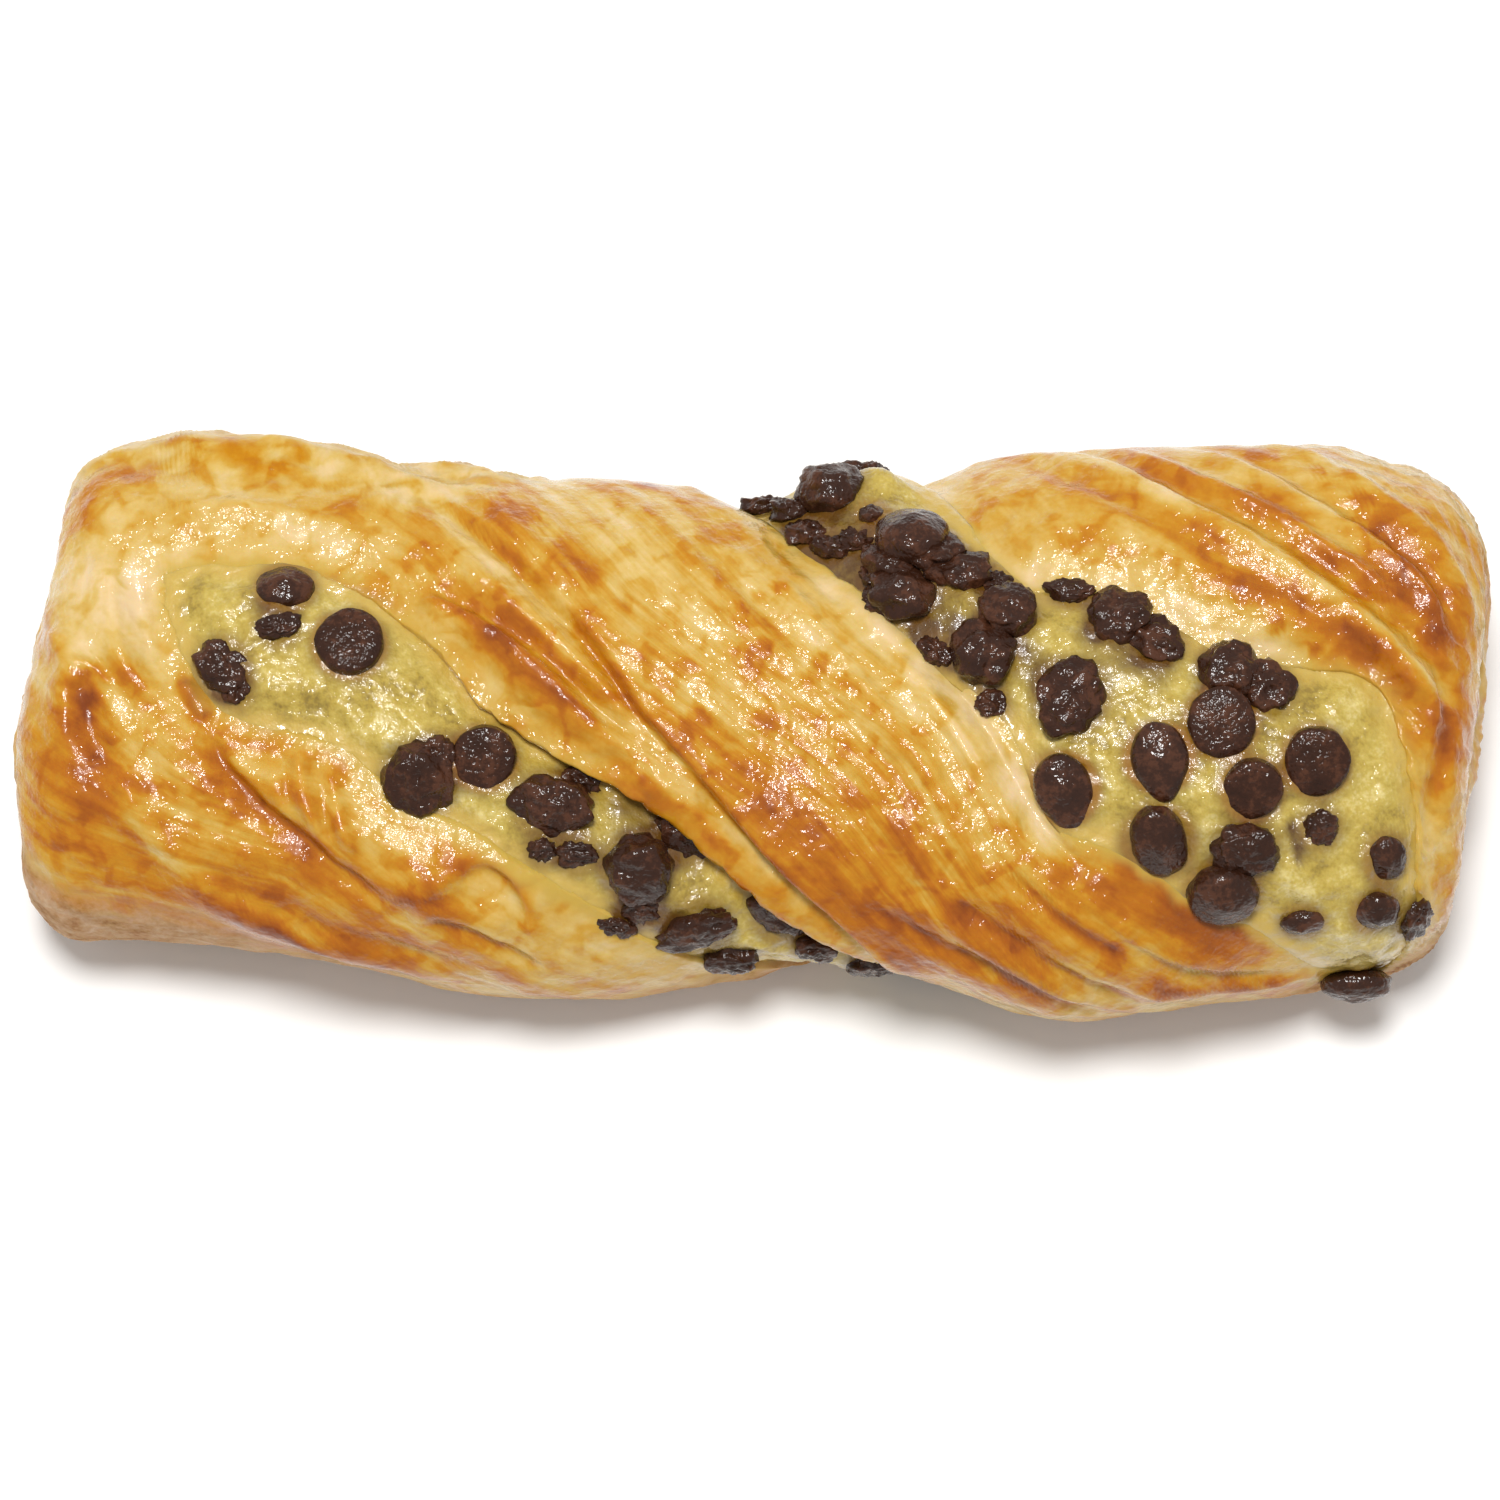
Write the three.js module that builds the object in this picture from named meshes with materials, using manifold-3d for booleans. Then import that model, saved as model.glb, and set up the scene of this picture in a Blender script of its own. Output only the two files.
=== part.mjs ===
// Chocolate twist: a baked strip of dough, custard and chocolate chips. The strip has one full turn
// in it, so its two cut edges wind round the loaf as two long windows that show the filling.
//
// Units are millimetres. The loaf lies along X and stands on z = 0 with +Z up. An angle is in
// degrees round the loaf's length: 0 at the back (+Y), 90 at the top, 180 at the front (-Y) and
// 270 underneath. An angle under 0 is underneath too, reached from the back.

import * as THREE from 'three';
import { mergeVertices } from 'three/addons/utils/BufferGeometryUtils.js';
import Module from 'manifold-3d';

// ---------------------------------------------------------------- driving dimensions

// The loaf's section along its length: x, middle line y, half width, height.
const STATIONS = [
  [-68, 3.4, 24.0, 27.5],
  [-54, 3.7, 25.3, 29.5],
  [-38, 1.4, 25.4, 30.5],
  [-22, -1.2, 25.6, 31.0],
  [-8, -1.3, 24.9, 30.5],
  [4, -1.6, 23.8, 30.0],
  [16, -1.1, 25.2, 31.5],
  [30, -1.5, 27.8, 33.0],
  [44, -0.2, 27.4, 33.5],
  [58, 0.6, 26.8, 32.0],
  [70, 0.2, 23.4, 29.5],
];
const MIDDLE_HEIGHT = 0.45;       // of the height: where the section is widest
const SQUARENESS = 2.3;           // power of the section's superellipse, where 2 is an ellipse
const SAG = 1.35;                 // depth of the lower half, over MIDDLE_HEIGHT, before it is pressed flat
const FLAT_EASE = 3;              // height over which the flat underside bends up into the flank

// The two ends: a shallow dome, a round corner, and a reach that differs from back to front.
const LEFT_END = { reach: -69.5, backward: 1.9, upward: -0.8, dome: 1.2, corner: 6.5 };
const RIGHT_END = { reach: 70.5, backward: 1.7, upward: 0.5, dome: 1.1, corner: 8.0 };
const FACE_RINGS = 5;
const CORNER_RINGS = 4;

// Fineness of the dough's surface and of the filling's.
const DOUGH_RINGS = 62;
const DOUGH_SPOKES = 42;
const FILLING_RINGS = 42;
const FILLING_SPOKES = 28;
const TWIST = 2.5;                // degrees of turn for each mm of length

// The windows' two edges: x and angle. Each runs from its left end to its right end.
const WINDOWS = [
  {
    high: [[-57.5, 74], [-54.5, 101], [-49.5, 114], [-41, 117], [-34, 129], [-24, 139], [-9, 166],
      [8, 205], [38, 277], [55, 312]],
    low: [[-57.5, 61], [-52, 58], [-45, 57], [-37, 62], [-31, 76], [-25, 96], [-8, 130], [9, 169],
      [30, 218], [55, 294]],
  },
  {
    high: [[-60, -148], [-44, -112], [-16, -32], [0, 19], [18, 77], [24, 96], [29, 127], [35, 139],
      [52, 164], [60, 184], [64, 182], [66, 172]],
    low: [[-60, -158], [-48, -150], [-18, -80], [8, -8], [17, 20], [26, 54], [34, 60], [46, 82],
      [54, 86], [61.5, 95], [66, 135]],
  },
];
const ARC = 21 * Math.PI / 180;   // mm along the surface for each degree
const EDGE_LEAN = 0.72;           // true distance from a leaning edge, over the distance round the arc

// Levels, measured out from the loaf's plain surface.
const LIP_DROP = 1.1;             // the dough rolls down towards the window
const LIP_ROLL = 3.0;             // width of that roll
const LOBE_RISE = 0.7;            // the dough swells between the windows
const LOBE_WIDTH = 9;
const FILLING_DROP = 2.6;         // level of the custard along the window's edge
const FILLING_RISE = 2.0;         // how much it rises away from the edge
const FILLING_ROLL = 6.0;
const FILLING_CLEAR = 0.4;        // height of the filling off the floor, underneath
const SWELLING = { x: 11, angle: 8, rise: 3.0, length: 8, turn: 24 };   // where it has boiled out

// Folds and creases of the dough: height, half width, and the x and angle of the path's points.
const FOLDS = [
  // crease over the middle lobe
  { height: -1.3, width: 2.2, path: [[-34, 33], [-24, 63], [-14, 101], [-3, 140], [10, 172]] },
  // ridge above the left window
  { height: 1.1, width: 2.4, path: [[-33, 64], [-26, 74], [-17, 95], [-5, 126]] },
  // groove behind that ridge
  { height: -0.7, width: 2.0, path: [[-34, 54], [-24, 66], [-17, 84]] },
  // fold at the left end
  { height: 1.0, width: 2.4, path: [[-65, 84], [-61, 118], [-54, 148], [-46, 158]] },
  // pillow under the left window
  { height: 1.5, width: 3.0, path: [[-51, 116], [-48, 134], [-40, 146], [-30, 143], [-22, 148], [-18, 160]] },
  // valley under the pillow
  { height: -0.9, width: 2.2, path: [[-56, 128], [-46, 150], [-34, 158], [-24, 162]] },
  // right lobe, first ridge
  { height: 1.2, width: 2.6, path: [[23, 26], [43, 48], [57, 68], [66, 96]] },
  // right lobe, first groove
  { height: -1.0, width: 2.0, path: [[28, 21], [46, 40], [60, 60], [68, 100]] },
  // right lobe, second ridge
  { height: 1.0, width: 2.4, path: [[38, 22], [52, 40], [64, 60], [69, 84]] },
  // right lobe, third ridge
  { height: 0.7, width: 2.2, path: [[48, 20], [58, 36], [66, 56]] },
  // fold under the right window
  { height: 1.0, width: 2.4, path: [[13, 70], [24, 114], [35, 146], [46, 166], [56, 186]] },
  // groove beside that fold
  { height: -0.9, width: 2.0, path: [[8, 74], [18, 112], [28, 146], [40, 170]] },
  // back lobe, first ridge
  { height: 1.0, width: 2.6, path: [[-62, -70], [-48, -40], [-36, -14]] },
  // back lobe, groove
  { height: -0.9, width: 2.4, path: [[-46, -6], [-36, 10], [-26, 30]] },
  // front lobe, groove
  { height: -0.9, width: 2.2, path: [[-58, 176], [-34, 196], [-12, 222], [10, 262]] },
  // lower right lobe, ridge
  { height: 0.9, width: 2.6, path: [[14, 198], [34, 222], [50, 250], [64, 280]] },
];

// The filling is one ribbon: a round core along the middle line, with a wedge out to each window.
const CORE_RADIUS = 4.5;
const CORE_SIDES = 12;
const CORE_FROM = -56;
const CORE_TO = 62;
const WEDGE_FROM = 2.5;           // radii between which a window's wedge is cut
const WEDGE_TO = 31;
const WEDGE_STEPS = 42;           // pieces of a wedge along the loaf, round it and outwards
const WEDGE_STRIPS = 2;
const WEDGE_LAYERS = 2;
const GAP = 0.32;                 // kept between dough and filling, square to a wedge's side
const STEEPEST = 3.0;             // most that a leaning side widens the gap round the section

// Chocolate chips in the windows: x, angle, length, width.
const CHIP_THICKNESS = 3.4;
const CHIP_SINK = 0.5;            // how far a chip's middle lies under the custard
const CHIPS = [
  // left window
  [-45, 65, 5.6, 5.6], [-46, 78, 4.4, 2.6], [-39, 82, 6.6, 6.6], [-52.5, 92, 5.0, 4.6],
  [-49.5, 101, 4.4, 3.8], [-32, 121, 6.6, 6.6], [-29.5, 108, 3.4, 3.4], [-26.5, 112, 7.0, 7.0],
  [-20, 124, 7.0, 5.6], [-16, 121, 4.2, 3.2], [-17.5, 136, 4.4, 3.0], [-11, 142, 7.4, 7.0],
  [-6.5, 137, 6.0, 4.4], [-11.5, 155, 4.6, 4.0], [-5, 160, 7.4, 4.2], [2.5, 159, 7.6, 5.4],
  [-2, 175, 5.2, 3.0], [6, 174, 4.2, 3.2],
  // right window, from the back over the top
  [1.5, 9, 5.0, 3.4], [4.5, 22, 4.0, 3.6], [8, 8, 6.6, 6.2], [12, 0, 5.0, 4.6],
  [17, 39, 6.4, 6.2], [15, 51, 6.2, 6.0], [19.5, 52, 6.0, 4.8], [24.5, 66, 6.2, 6.0],
  [23, 78, 6.2, 6.0], [31.5, 58, 5.0, 3.0], [37.5, 70, 7.4, 6.0], [31.5, 93, 5.8, 5.4],
  [48, 90, 7.4, 6.2], [45, 104, 6.2, 6.0], [39.5, 112, 6.4, 5.6], [30.5, 120, 6.8, 5.8],
  [55, 116, 6.4, 6.2], [48.5, 123, 5.8, 5.6], [40, 134, 7.2, 5.8], [48, 136, 6.4, 4.8],
  [46, 147, 7.4, 6.4], [55, 133, 4.4, 3.0], [54, 154, 4.2, 3.2], [62, 142, 4.8, 4.4],
  [61, 154, 4.8, 4.4], [60, 178, 6.4, 5.0],
];
// Round the back and underneath, the chips keep the same mean spacing along each window.
const HIDDEN_CHIPS = [
  { window: 0, from: 12, to: 50, count: 9 },
  { window: 1, from: -54, to: -4, count: 12 },
];
const CHIP_LENGTHS = [5.0, 6.8];  // smallest and largest
const CHIP_WIDTHS = [0.8, 1.0];   // narrowest and widest, as a share of the length
const CHIP_ROWS = [0.3, 0.7];     // places across the window, which the chips take in turn
const CHIP_STRAY = 0.06;          // how far from its row a chip may lie, as a share of the window
const CHIP_SIDES = 6;
const CHIP_LAYERS = 4;
const SEED = 11;

const DOUGH_COLOUR = 0xd79a45;
const FILLING_COLOUR = 0xc9ad5f;
const ROUGHNESS = 0.4;

// ---------------------------------------------------------------- small helpers

const DEGREE = Math.PI / 180;
const clamp = THREE.MathUtils.clamp;
const lerp = THREE.MathUtils.lerp;
const bell = (distance, width) => Math.exp(-((distance / width) ** 2));

// A smooth curve through knots of [x, value, ...]: a cubic in each span, level with its neighbours.
function through(knots, x, column = 1) {
  const last = knots.length - 1;
  let i = 0;
  while (i < last - 1 && x > knots[i + 1][0]) i++;
  const slope = (k) => {
    const before = knots[Math.max(k - 1, 0)];
    const after = knots[Math.min(k + 1, last)];
    return (after[column] - before[column]) / (after[0] - before[0]);
  };
  const [p, q] = [knots[i], knots[i + 1]];
  const span = q[0] - p[0];
  const t = clamp((x - p[0]) / span, 0, 1);
  const [t2, t3] = [t * t, t * t * t];
  return (2 * t3 - 3 * t2 + 1) * p[column] + (t3 - 2 * t2 + t) * span * slope(i)
    + (3 * t2 - 2 * t3) * q[column] + (t3 - t2) * span * slope(i + 1);
}

// ---------------------------------------------------------------- the loaf's plain surface

function section(x) {
  const height = through(STATIONS, x, 3);
  return { y: through(STATIONS, x, 1), half: through(STATIONS, x, 2), height, z: MIDDLE_HEIGHT * height };
}

// Distance from the section's middle to its superellipse outline.
function sectionRadius(x, angle) {
  const { half, height, z } = section(x);
  const across = Math.abs(Math.cos(angle * DEGREE)) / half;
  const sine = Math.sin(angle * DEGREE);
  const up = Math.abs(sine) / (sine >= 0 ? height - z : z * SAG);
  return (across ** SQUARENESS + up ** SQUARENESS) ** (-1 / SQUARENESS);
}

// The sagging underside is pressed flat on z = 0 and eases into the flank.
function pressFlat(z) {
  const raw = z + FLAT_EASE / 2;
  if (raw <= 0) return 0;
  return raw < FLAT_EASE ? raw * raw / (2 * FLAT_EASE) : raw - FLAT_EASE / 2;
}

function endReach(end, angle) {
  return end.reach + end.backward * Math.cos(angle * DEGREE) + end.upward * Math.sin(angle * DEGREE);
}

// One end's outline from the middle of its face (at 0) to where the flank starts (at 1): x, the
// radius as a share of the flank's, and the outward direction along x and outwards from the middle.
function endOutline(end, side, share, angle) {
  const reach = endReach(end, angle);
  const faceShare = FACE_RINGS / (FACE_RINGS + CORNER_RINGS);
  const flank = sectionRadius(reach - side * end.corner, angle);
  if (share < faceShare) {
    const out = share / faceShare;
    const x = lerp(end.reach, reach, out) + side * end.dome * (1 - out * out);
    return { x, radius: out * (flank - end.corner), alongX: side, outward: 0 };
  }
  const turn = (share - faceShare) / (1 - faceShare) * Math.PI / 2;
  return {
    x: reach - side * end.corner * (1 - Math.cos(turn)),
    radius: flank - end.corner * (1 - Math.sin(turn)),
    alongX: side * Math.cos(turn),
    outward: Math.sin(turn),
  };
}

// A point of the loaf's surface, moved out by level(x, angle) but no lower than a height of lowest.
function surfacePoint(ring, rings, spokeAngle, level, lowest) {
  const endRings = FACE_RINGS + CORNER_RINGS;
  const along = clamp((ring - endRings) / (rings - 2 * endRings), 0, 1);
  const angle = spokeAngle + TWIST * lerp(LEFT_END.reach, RIGHT_END.reach, along);
  let outline;
  if (ring < endRings) {
    outline = endOutline(LEFT_END, -1, ring / endRings, angle);
  } else if (ring > rings - endRings) {
    outline = endOutline(RIGHT_END, 1, (rings - ring) / endRings, angle);
  } else {
    const from = endReach(LEFT_END, angle) + LEFT_END.corner;
    const x = lerp(from, endReach(RIGHT_END, angle) - RIGHT_END.corner, along);
    outline = { x, radius: sectionRadius(x, angle), alongX: 0, outward: 1 };
  }
  const middle = section(outline.x);
  const y = outline.radius * Math.cos(angle * DEGREE);
  const z = pressFlat(middle.z + outline.radius * Math.sin(angle * DEGREE)) - middle.z;
  const trueAngle = Math.atan2(z, y);
  const offMiddle = clamp(outline.radius / LEFT_END.corner, 0, 1);
  const rise = lerp(level(outline.x, 90), level(outline.x, trueAngle / DEGREE), offMiddle);
  return new THREE.Vector3(
    outline.x + rise * outline.alongX,
    middle.y + y + rise * outline.outward * Math.cos(trueAngle),
    Math.max(middle.z + z + rise * outline.outward * Math.sin(trueAngle), lowest),
  );
}

function loafGeometry(rings, spokes, level, lowest) {
  const geometry = new THREE.SphereGeometry(1, spokes, rings);
  const position = geometry.attributes.position;
  for (let ring = 0; ring <= rings; ring++) {
    for (let spoke = 0; spoke <= spokes; spoke++) {
      const point = surfacePoint(ring, rings, -360 * (spoke % spokes) / spokes, level, lowest);
      position.setXYZ(ring * (spokes + 1) + spoke, point.x, point.y, point.z);
    }
  }
  return geometry;
}

// ---------------------------------------------------------------- windows, lips and folds

// Distance in mm from a window's edge along the surface: over 0 on the dough, under 0 in the window.
function windowDistance(window, x, angle) {
  const [from, to] = [window.low[0][0], window.low.at(-1)[0]];
  const held = clamp(x, from, to);
  const [low, high] = [through(window.low, held), through(window.high, held)];
  const middle = (low + high) / 2;
  const turned = angle + 360 * Math.round((middle - angle) / 360);
  const across = (Math.abs(turned - middle) - (high - low) / 2) * ARC * EDGE_LEAN;
  return Math.max(across, from - x, x - to);
}

function nearestWindow(x, angle) {
  return Math.min(...WINDOWS.map((window) => windowDistance(window, x, angle)));
}

// Distance in mm along the surface from a fold's path.
function foldDistance(path, x, angle) {
  let nearest = Infinity;
  for (let i = 0; i + 1 < path.length; i++) {
    const [p, q] = [path[i], path[i + 1]];
    const turned = angle + 360 * Math.round(((p[1] + q[1]) / 2 - angle) / 360);
    const [runX, runY] = [q[0] - p[0], (q[1] - p[1]) * ARC];
    const [pointX, pointY] = [x - p[0], (turned - p[1]) * ARC];
    const t = clamp((pointX * runX + pointY * runY) / (runX * runX + runY * runY), 0, 1);
    nearest = Math.min(nearest, Math.hypot(pointX - t * runX, pointY - t * runY));
  }
  return nearest;
}

function doughLevel(x, angle) {
  const away = Math.max(nearestWindow(x, angle), 0);
  const lobe = LOBE_RISE * (1 - bell(away, LOBE_WIDTH));
  const lip = -LIP_DROP * bell(away, LIP_ROLL);
  const folds = FOLDS.reduce(
    (sum, fold) => sum + fold.height * bell(foldDistance(fold.path, x, angle), fold.width), 0);
  return lobe + lip + folds;
}

function fillingLevel(x, angle) {
  const inside = Math.max(-nearestWindow(x, angle), 0);
  const turned = angle - SWELLING.angle;
  const swelling = SWELLING.rise * bell(x - SWELLING.x, SWELLING.length) * bell(turned, SWELLING.turn);
  return -FILLING_DROP + FILLING_RISE * (1 - bell(inside, FILLING_ROLL)) + swelling;
}

// ---------------------------------------------------------------- the filling's ribbon

// A point at a radius and angle in the section at x, with the section's side moved over by gap.
function sectionPoint(x, radius, angle, gap = 0) {
  const middle = section(x);
  const turned = angle * DEGREE + Math.asin(gap / radius);
  return new THREE.Vector3(x, middle.y + radius * Math.cos(turned), middle.z + radius * Math.sin(turned));
}

// How much further the gap reaches round the section than square to the edge, at x.
function leanOf(edge, x) {
  const [before, after] = [x - 0.5, x + 0.5];
  const slope = (through(edge, after) - through(edge, before)) * ARC / (after - before);
  return Math.min(Math.hypot(1, slope), STEEPEST);
}

// Everything between a window's two edges, from near the middle line out past the surface.
function wedgeGeometry(window, gap) {
  const geometry = new THREE.BoxGeometry(2, 1, 1, WEDGE_STEPS, WEDGE_STRIPS, WEDGE_LAYERS);
  const position = geometry.attributes.position;
  const [from, to] = [window.low[0][0], window.low.at(-1)[0]];
  for (let i = 0; i < position.count; i++) {
    const along = position.getX(i);
    const across = -2 * position.getY(i);
    const x = lerp(from, to, (Math.sin(along * Math.PI / 2) + 1) / 2);
    const angle = lerp(through(window.low, x), through(window.high, x), (across + 1) / 2);
    const radius = lerp(WEDGE_FROM, WEDGE_TO, position.getZ(i) + 0.5);
    const endGap = Math.abs(along) === 1 ? along * gap : 0;
    const sideGap = across * gap * leanOf(across < 0 ? window.low : window.high, x);
    const point = sectionPoint(x + endGap, radius, angle, sideGap);
    position.setXYZ(i, point.x, point.y, point.z);
  }
  return geometry;
}

function coreGeometry(gap) {
  const length = CORE_TO - CORE_FROM + 2 * gap;
  const geometry = new THREE.CylinderGeometry(CORE_RADIUS + gap, CORE_RADIUS + gap, length,
    CORE_SIDES, STATIONS.length * 2);
  geometry.rotateZ(Math.PI / 2);
  geometry.translate((CORE_FROM + CORE_TO) / 2, 0, 0);
  const position = geometry.attributes.position;
  for (let i = 0; i < position.count; i++) {
    const middle = section(position.getX(i));
    position.setY(i, position.getY(i) + middle.y);
    position.setZ(i, position.getZ(i) + middle.z);
  }
  return geometry;
}

// A chip is a flattened ball lying in the custard's surface, pressed flat where the loaf is.
function chipGeometry(x, angle, length, width) {
  const geometry = new THREE.SphereGeometry(0.5, CHIP_SIDES, CHIP_LAYERS);
  geometry.rotateX(Math.PI / 2);
  geometry.scale(length, width, CHIP_THICKNESS);
  const outward = new THREE.Vector3(0, Math.cos(angle * DEGREE), Math.sin(angle * DEGREE));
  const lengthways = new THREE.Vector3(1, 0, 0);
  const round = new THREE.Vector3().crossVectors(outward, lengthways);
  const toFloor = outward.z < 0 ? section(x).z / -outward.z : Infinity;
  const radius = Math.min(sectionRadius(x, angle), toFloor) + fillingLevel(x, angle) - CHIP_SINK;
  const seat = new THREE.Matrix4().makeBasis(lengthways, round, outward);
  seat.setPosition(sectionPoint(x, radius, angle));
  geometry.applyMatrix4(seat);
  const position = geometry.attributes.position;
  for (let i = 0; i < position.count; i++) position.setZ(i, Math.max(position.getZ(i), FILLING_CLEAR));
  return geometry;
}

// A small repeatable random source, from 0 to 1.
function randomFrom(seed) {
  let state = seed;
  return () => {
    state = (state * 1664525 + 1013904223) % 4294967296;
    return state / 4294967296;
  };
}

function hiddenChips() {
  const random = randomFrom(SEED);
  const chips = [];
  for (const { window, from, to, count } of HIDDEN_CHIPS) {
    const { low, high } = WINDOWS[window];
    for (let i = 0; i < count; i++) {
      const x = lerp(from, to, (i + random() / 2) / count);
      const across = CHIP_ROWS[i % 2] + CHIP_STRAY * (2 * random() - 1);
      const angle = lerp(through(low, x), through(high, x), across);
      const length = lerp(...CHIP_LENGTHS, random());
      chips.push([x, angle, length, length * lerp(...CHIP_WIDTHS, random())]);
    }
  }
  return chips;
}

// ---------------------------------------------------------------- joining and cutting

const wasm = await Module();
wasm.setup();

function toSolid(geometry) {
  geometry.deleteAttribute('normal');
  geometry.deleteAttribute('uv');
  const merged = mergeVertices(geometry);
  return new wasm.Manifold(new wasm.Mesh({
    numProp: 3,
    vertProperties: new Float32Array(merged.attributes.position.array),
    triVerts: new Uint32Array(merged.index.array),
  }));
}

function toMesh(name, solid, colour) {
  const { vertProperties, triVerts } = solid.getMesh();
  const geometry = new THREE.BufferGeometry();
  geometry.setAttribute('position', new THREE.BufferAttribute(vertProperties, 3));
  geometry.setIndex(new THREE.BufferAttribute(triVerts, 1));
  geometry.computeVertexNormals();
  const material = new THREE.MeshStandardMaterial({ color: colour, roughness: ROUGHNESS, metalness: 0 });
  const mesh = new THREE.Mesh(geometry, material);
  mesh.name = name;
  return mesh;
}

// The space that the filling's ribbon takes, wider by gap.
function ribbonSolid(gap) {
  return WINDOWS.reduce(
    (ribbon, window) => ribbon.add(toSolid(wedgeGeometry(window, gap))),
    toSolid(coreGeometry(gap)));
}

// The largest piece of a solid: a chip that a window's edge cuts off is left out.
function withoutScraps(solid) {
  return solid.decompose().reduce((best, piece) => (piece.volume() > best.volume() ? piece : best));
}

function fillingSolid() {
  let custard = toSolid(loafGeometry(FILLING_RINGS, FILLING_SPOKES, fillingLevel, FILLING_CLEAR));
  for (const chip of [...CHIPS, ...hiddenChips()]) {
    custard = custard.add(toSolid(chipGeometry(...chip)));
  }
  return withoutScraps(custard.intersect(ribbonSolid(0)));
}

function doughSolid() {
  const loaf = toSolid(loafGeometry(DOUGH_RINGS, DOUGH_SPOKES, doughLevel, 0));
  return withoutScraps(loaf.subtract(ribbonSolid(GAP)));
}

const twist = new THREE.Group();
twist.add(toMesh('pastry_dough', doughSolid(), DOUGH_COLOUR));
twist.add(toMesh('custard_filling', fillingSolid(), FILLING_COLOUR));

export default twist;
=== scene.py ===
"""A chocolate twist: glazed, baked dough wound once round a ribbon of custard and chocolate chips.

Lengths here are millimetres and angles are degrees, until a mesh is made in metres. The loaf lies
along X on z = 0. An angle round it is 0 at the back (+Y), 90 at the top, 180 at the front (-Y) and
270 underneath.
"""
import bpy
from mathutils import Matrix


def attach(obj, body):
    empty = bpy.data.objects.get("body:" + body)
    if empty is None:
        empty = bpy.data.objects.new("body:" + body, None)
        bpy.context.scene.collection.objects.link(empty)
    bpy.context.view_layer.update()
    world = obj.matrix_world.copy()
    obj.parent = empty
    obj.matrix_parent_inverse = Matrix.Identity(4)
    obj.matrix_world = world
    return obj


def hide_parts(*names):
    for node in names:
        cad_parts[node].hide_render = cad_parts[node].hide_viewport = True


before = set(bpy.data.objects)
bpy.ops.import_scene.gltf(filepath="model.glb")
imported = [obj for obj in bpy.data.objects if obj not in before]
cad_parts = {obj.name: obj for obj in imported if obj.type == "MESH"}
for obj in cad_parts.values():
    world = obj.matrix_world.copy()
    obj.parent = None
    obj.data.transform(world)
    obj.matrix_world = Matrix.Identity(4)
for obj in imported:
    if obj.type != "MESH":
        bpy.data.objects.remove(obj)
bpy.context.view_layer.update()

from types import SimpleNamespace

import bpy
import numpy as np
from mathutils import Vector

MM = 0.001

# ---------------------------------------------------------------- the loaf's driving dimensions

# The section along the loaf: x, middle line y, half width, height.
STATIONS = np.array([
    (-68, 3.4, 24.0, 27.5), (-54, 3.7, 25.3, 29.5), (-38, 1.4, 25.4, 30.5), (-22, -1.2, 25.6, 31.0),
    (-8, -1.3, 24.9, 30.5), (4, -1.6, 23.8, 30.0), (16, -1.1, 25.2, 31.5), (30, -1.5, 27.8, 33.0),
    (44, -0.2, 27.4, 33.5), (58, 0.6, 26.8, 32.0), (70, 0.2, 23.4, 29.5)])
MIDDLE_HEIGHT = 0.45              # of the height: where the section is widest
SQUARENESS = 2.3                  # power of the section's superellipse
SAG = 1.35                        # depth of the lower half before it is pressed flat
FLAT_EASE = 3.0                   # height over which the flat underside bends up

LEFT_END = dict(reach=-69.5, backward=1.9, upward=-0.8, dome=1.2, corner=6.5)
RIGHT_END = dict(reach=70.5, backward=1.7, upward=0.5, dome=1.1, corner=8.0)

# A window's two edges: x and angle. A lip of 1 stands up and leans over the custard, and one of 0 runs
# into it softly. A step is how far the custard lies under the lip.
LEFT_WINDOW = dict(
    high=[(-57.5, 74), (-54.5, 101), (-49.5, 114), (-41, 117), (-34, 129), (-24, 139), (-9, 166),
          (8, 205), (38, 277), (55, 312)],
    low=[(-57.5, 61), (-52, 58), (-45, 57), (-37, 62), (-31, 76), (-25, 96), (-8, 130), (9, 169),
         (30, 218), (55, 294)],
    high_lip=[(-57, 0.6), (-52, 0.5), (-46, 0.2), (-36, 0.1), (-20, 0.1), (-10, 0.4), (4, 0.9), (50, 1)],
    low_lip=[(-57, 0.2), (-46, 0.2), (-38, 0.4), (-30, 0.5), (-22, 0.9), (-8, 1), (50, 1)],
    high_step=[(-57, -0.06), (-50, -0.06), (-36, -0.06), (-20, 0.0), (-8, 0.5), (10, 1.0), (50, 1.2)],
    low_step=[(-57, -0.06), (-44, -0.06), (-34, 0.5), (-22, 1.7), (-8, 2.4), (6, 2.2), (50, 1.2)])
RIGHT_WINDOW = dict(
    high=[(-60, -148), (-44, -112), (-16, -32), (0, 19), (18, 77), (24, 96), (29, 124), (35, 135),
          (52, 163), (60, 184), (64, 182), (66, 172)],
    low=[(-60, -158), (-48, -150), (-18, -80), (8, -8), (17, 20), (26, 54), (34, 60), (46, 82),
         (54, 86), (61.5, 95), (66, 135)],
    high_lip=[(-50, 1), (-10, 1), (4, 0.7), (18, 0.4), (30, 0.1), (44, 0.1), (56, 0.4), (66, 0.3)],
    low_lip=[(-50, 1), (-10, 0.8), (4, 0.2), (20, 0.1), (36, 0.1), (50, 0.2), (58, 0.5), (66, 0.6)],
    high_step=[(-50, 1.2), (-10, 1.2), (4, 0.5), (18, 0.0), (30, -0.1), (48, -0.1), (66, 0.0)],
    low_step=[(-50, 1.2), (-10, 0.8), (6, -0.1), (18, -0.1), (36, -0.1), (48, 0.0), (66, 0.3)])
WINDOWS = (LEFT_WINDOW, RIGHT_WINDOW)
MEAN_RADIUS = 21                  # of the section, for measures in mm round the loaf
ARC = MEAN_RADIUS * np.pi / 180   # mm along the surface for each degree
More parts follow.
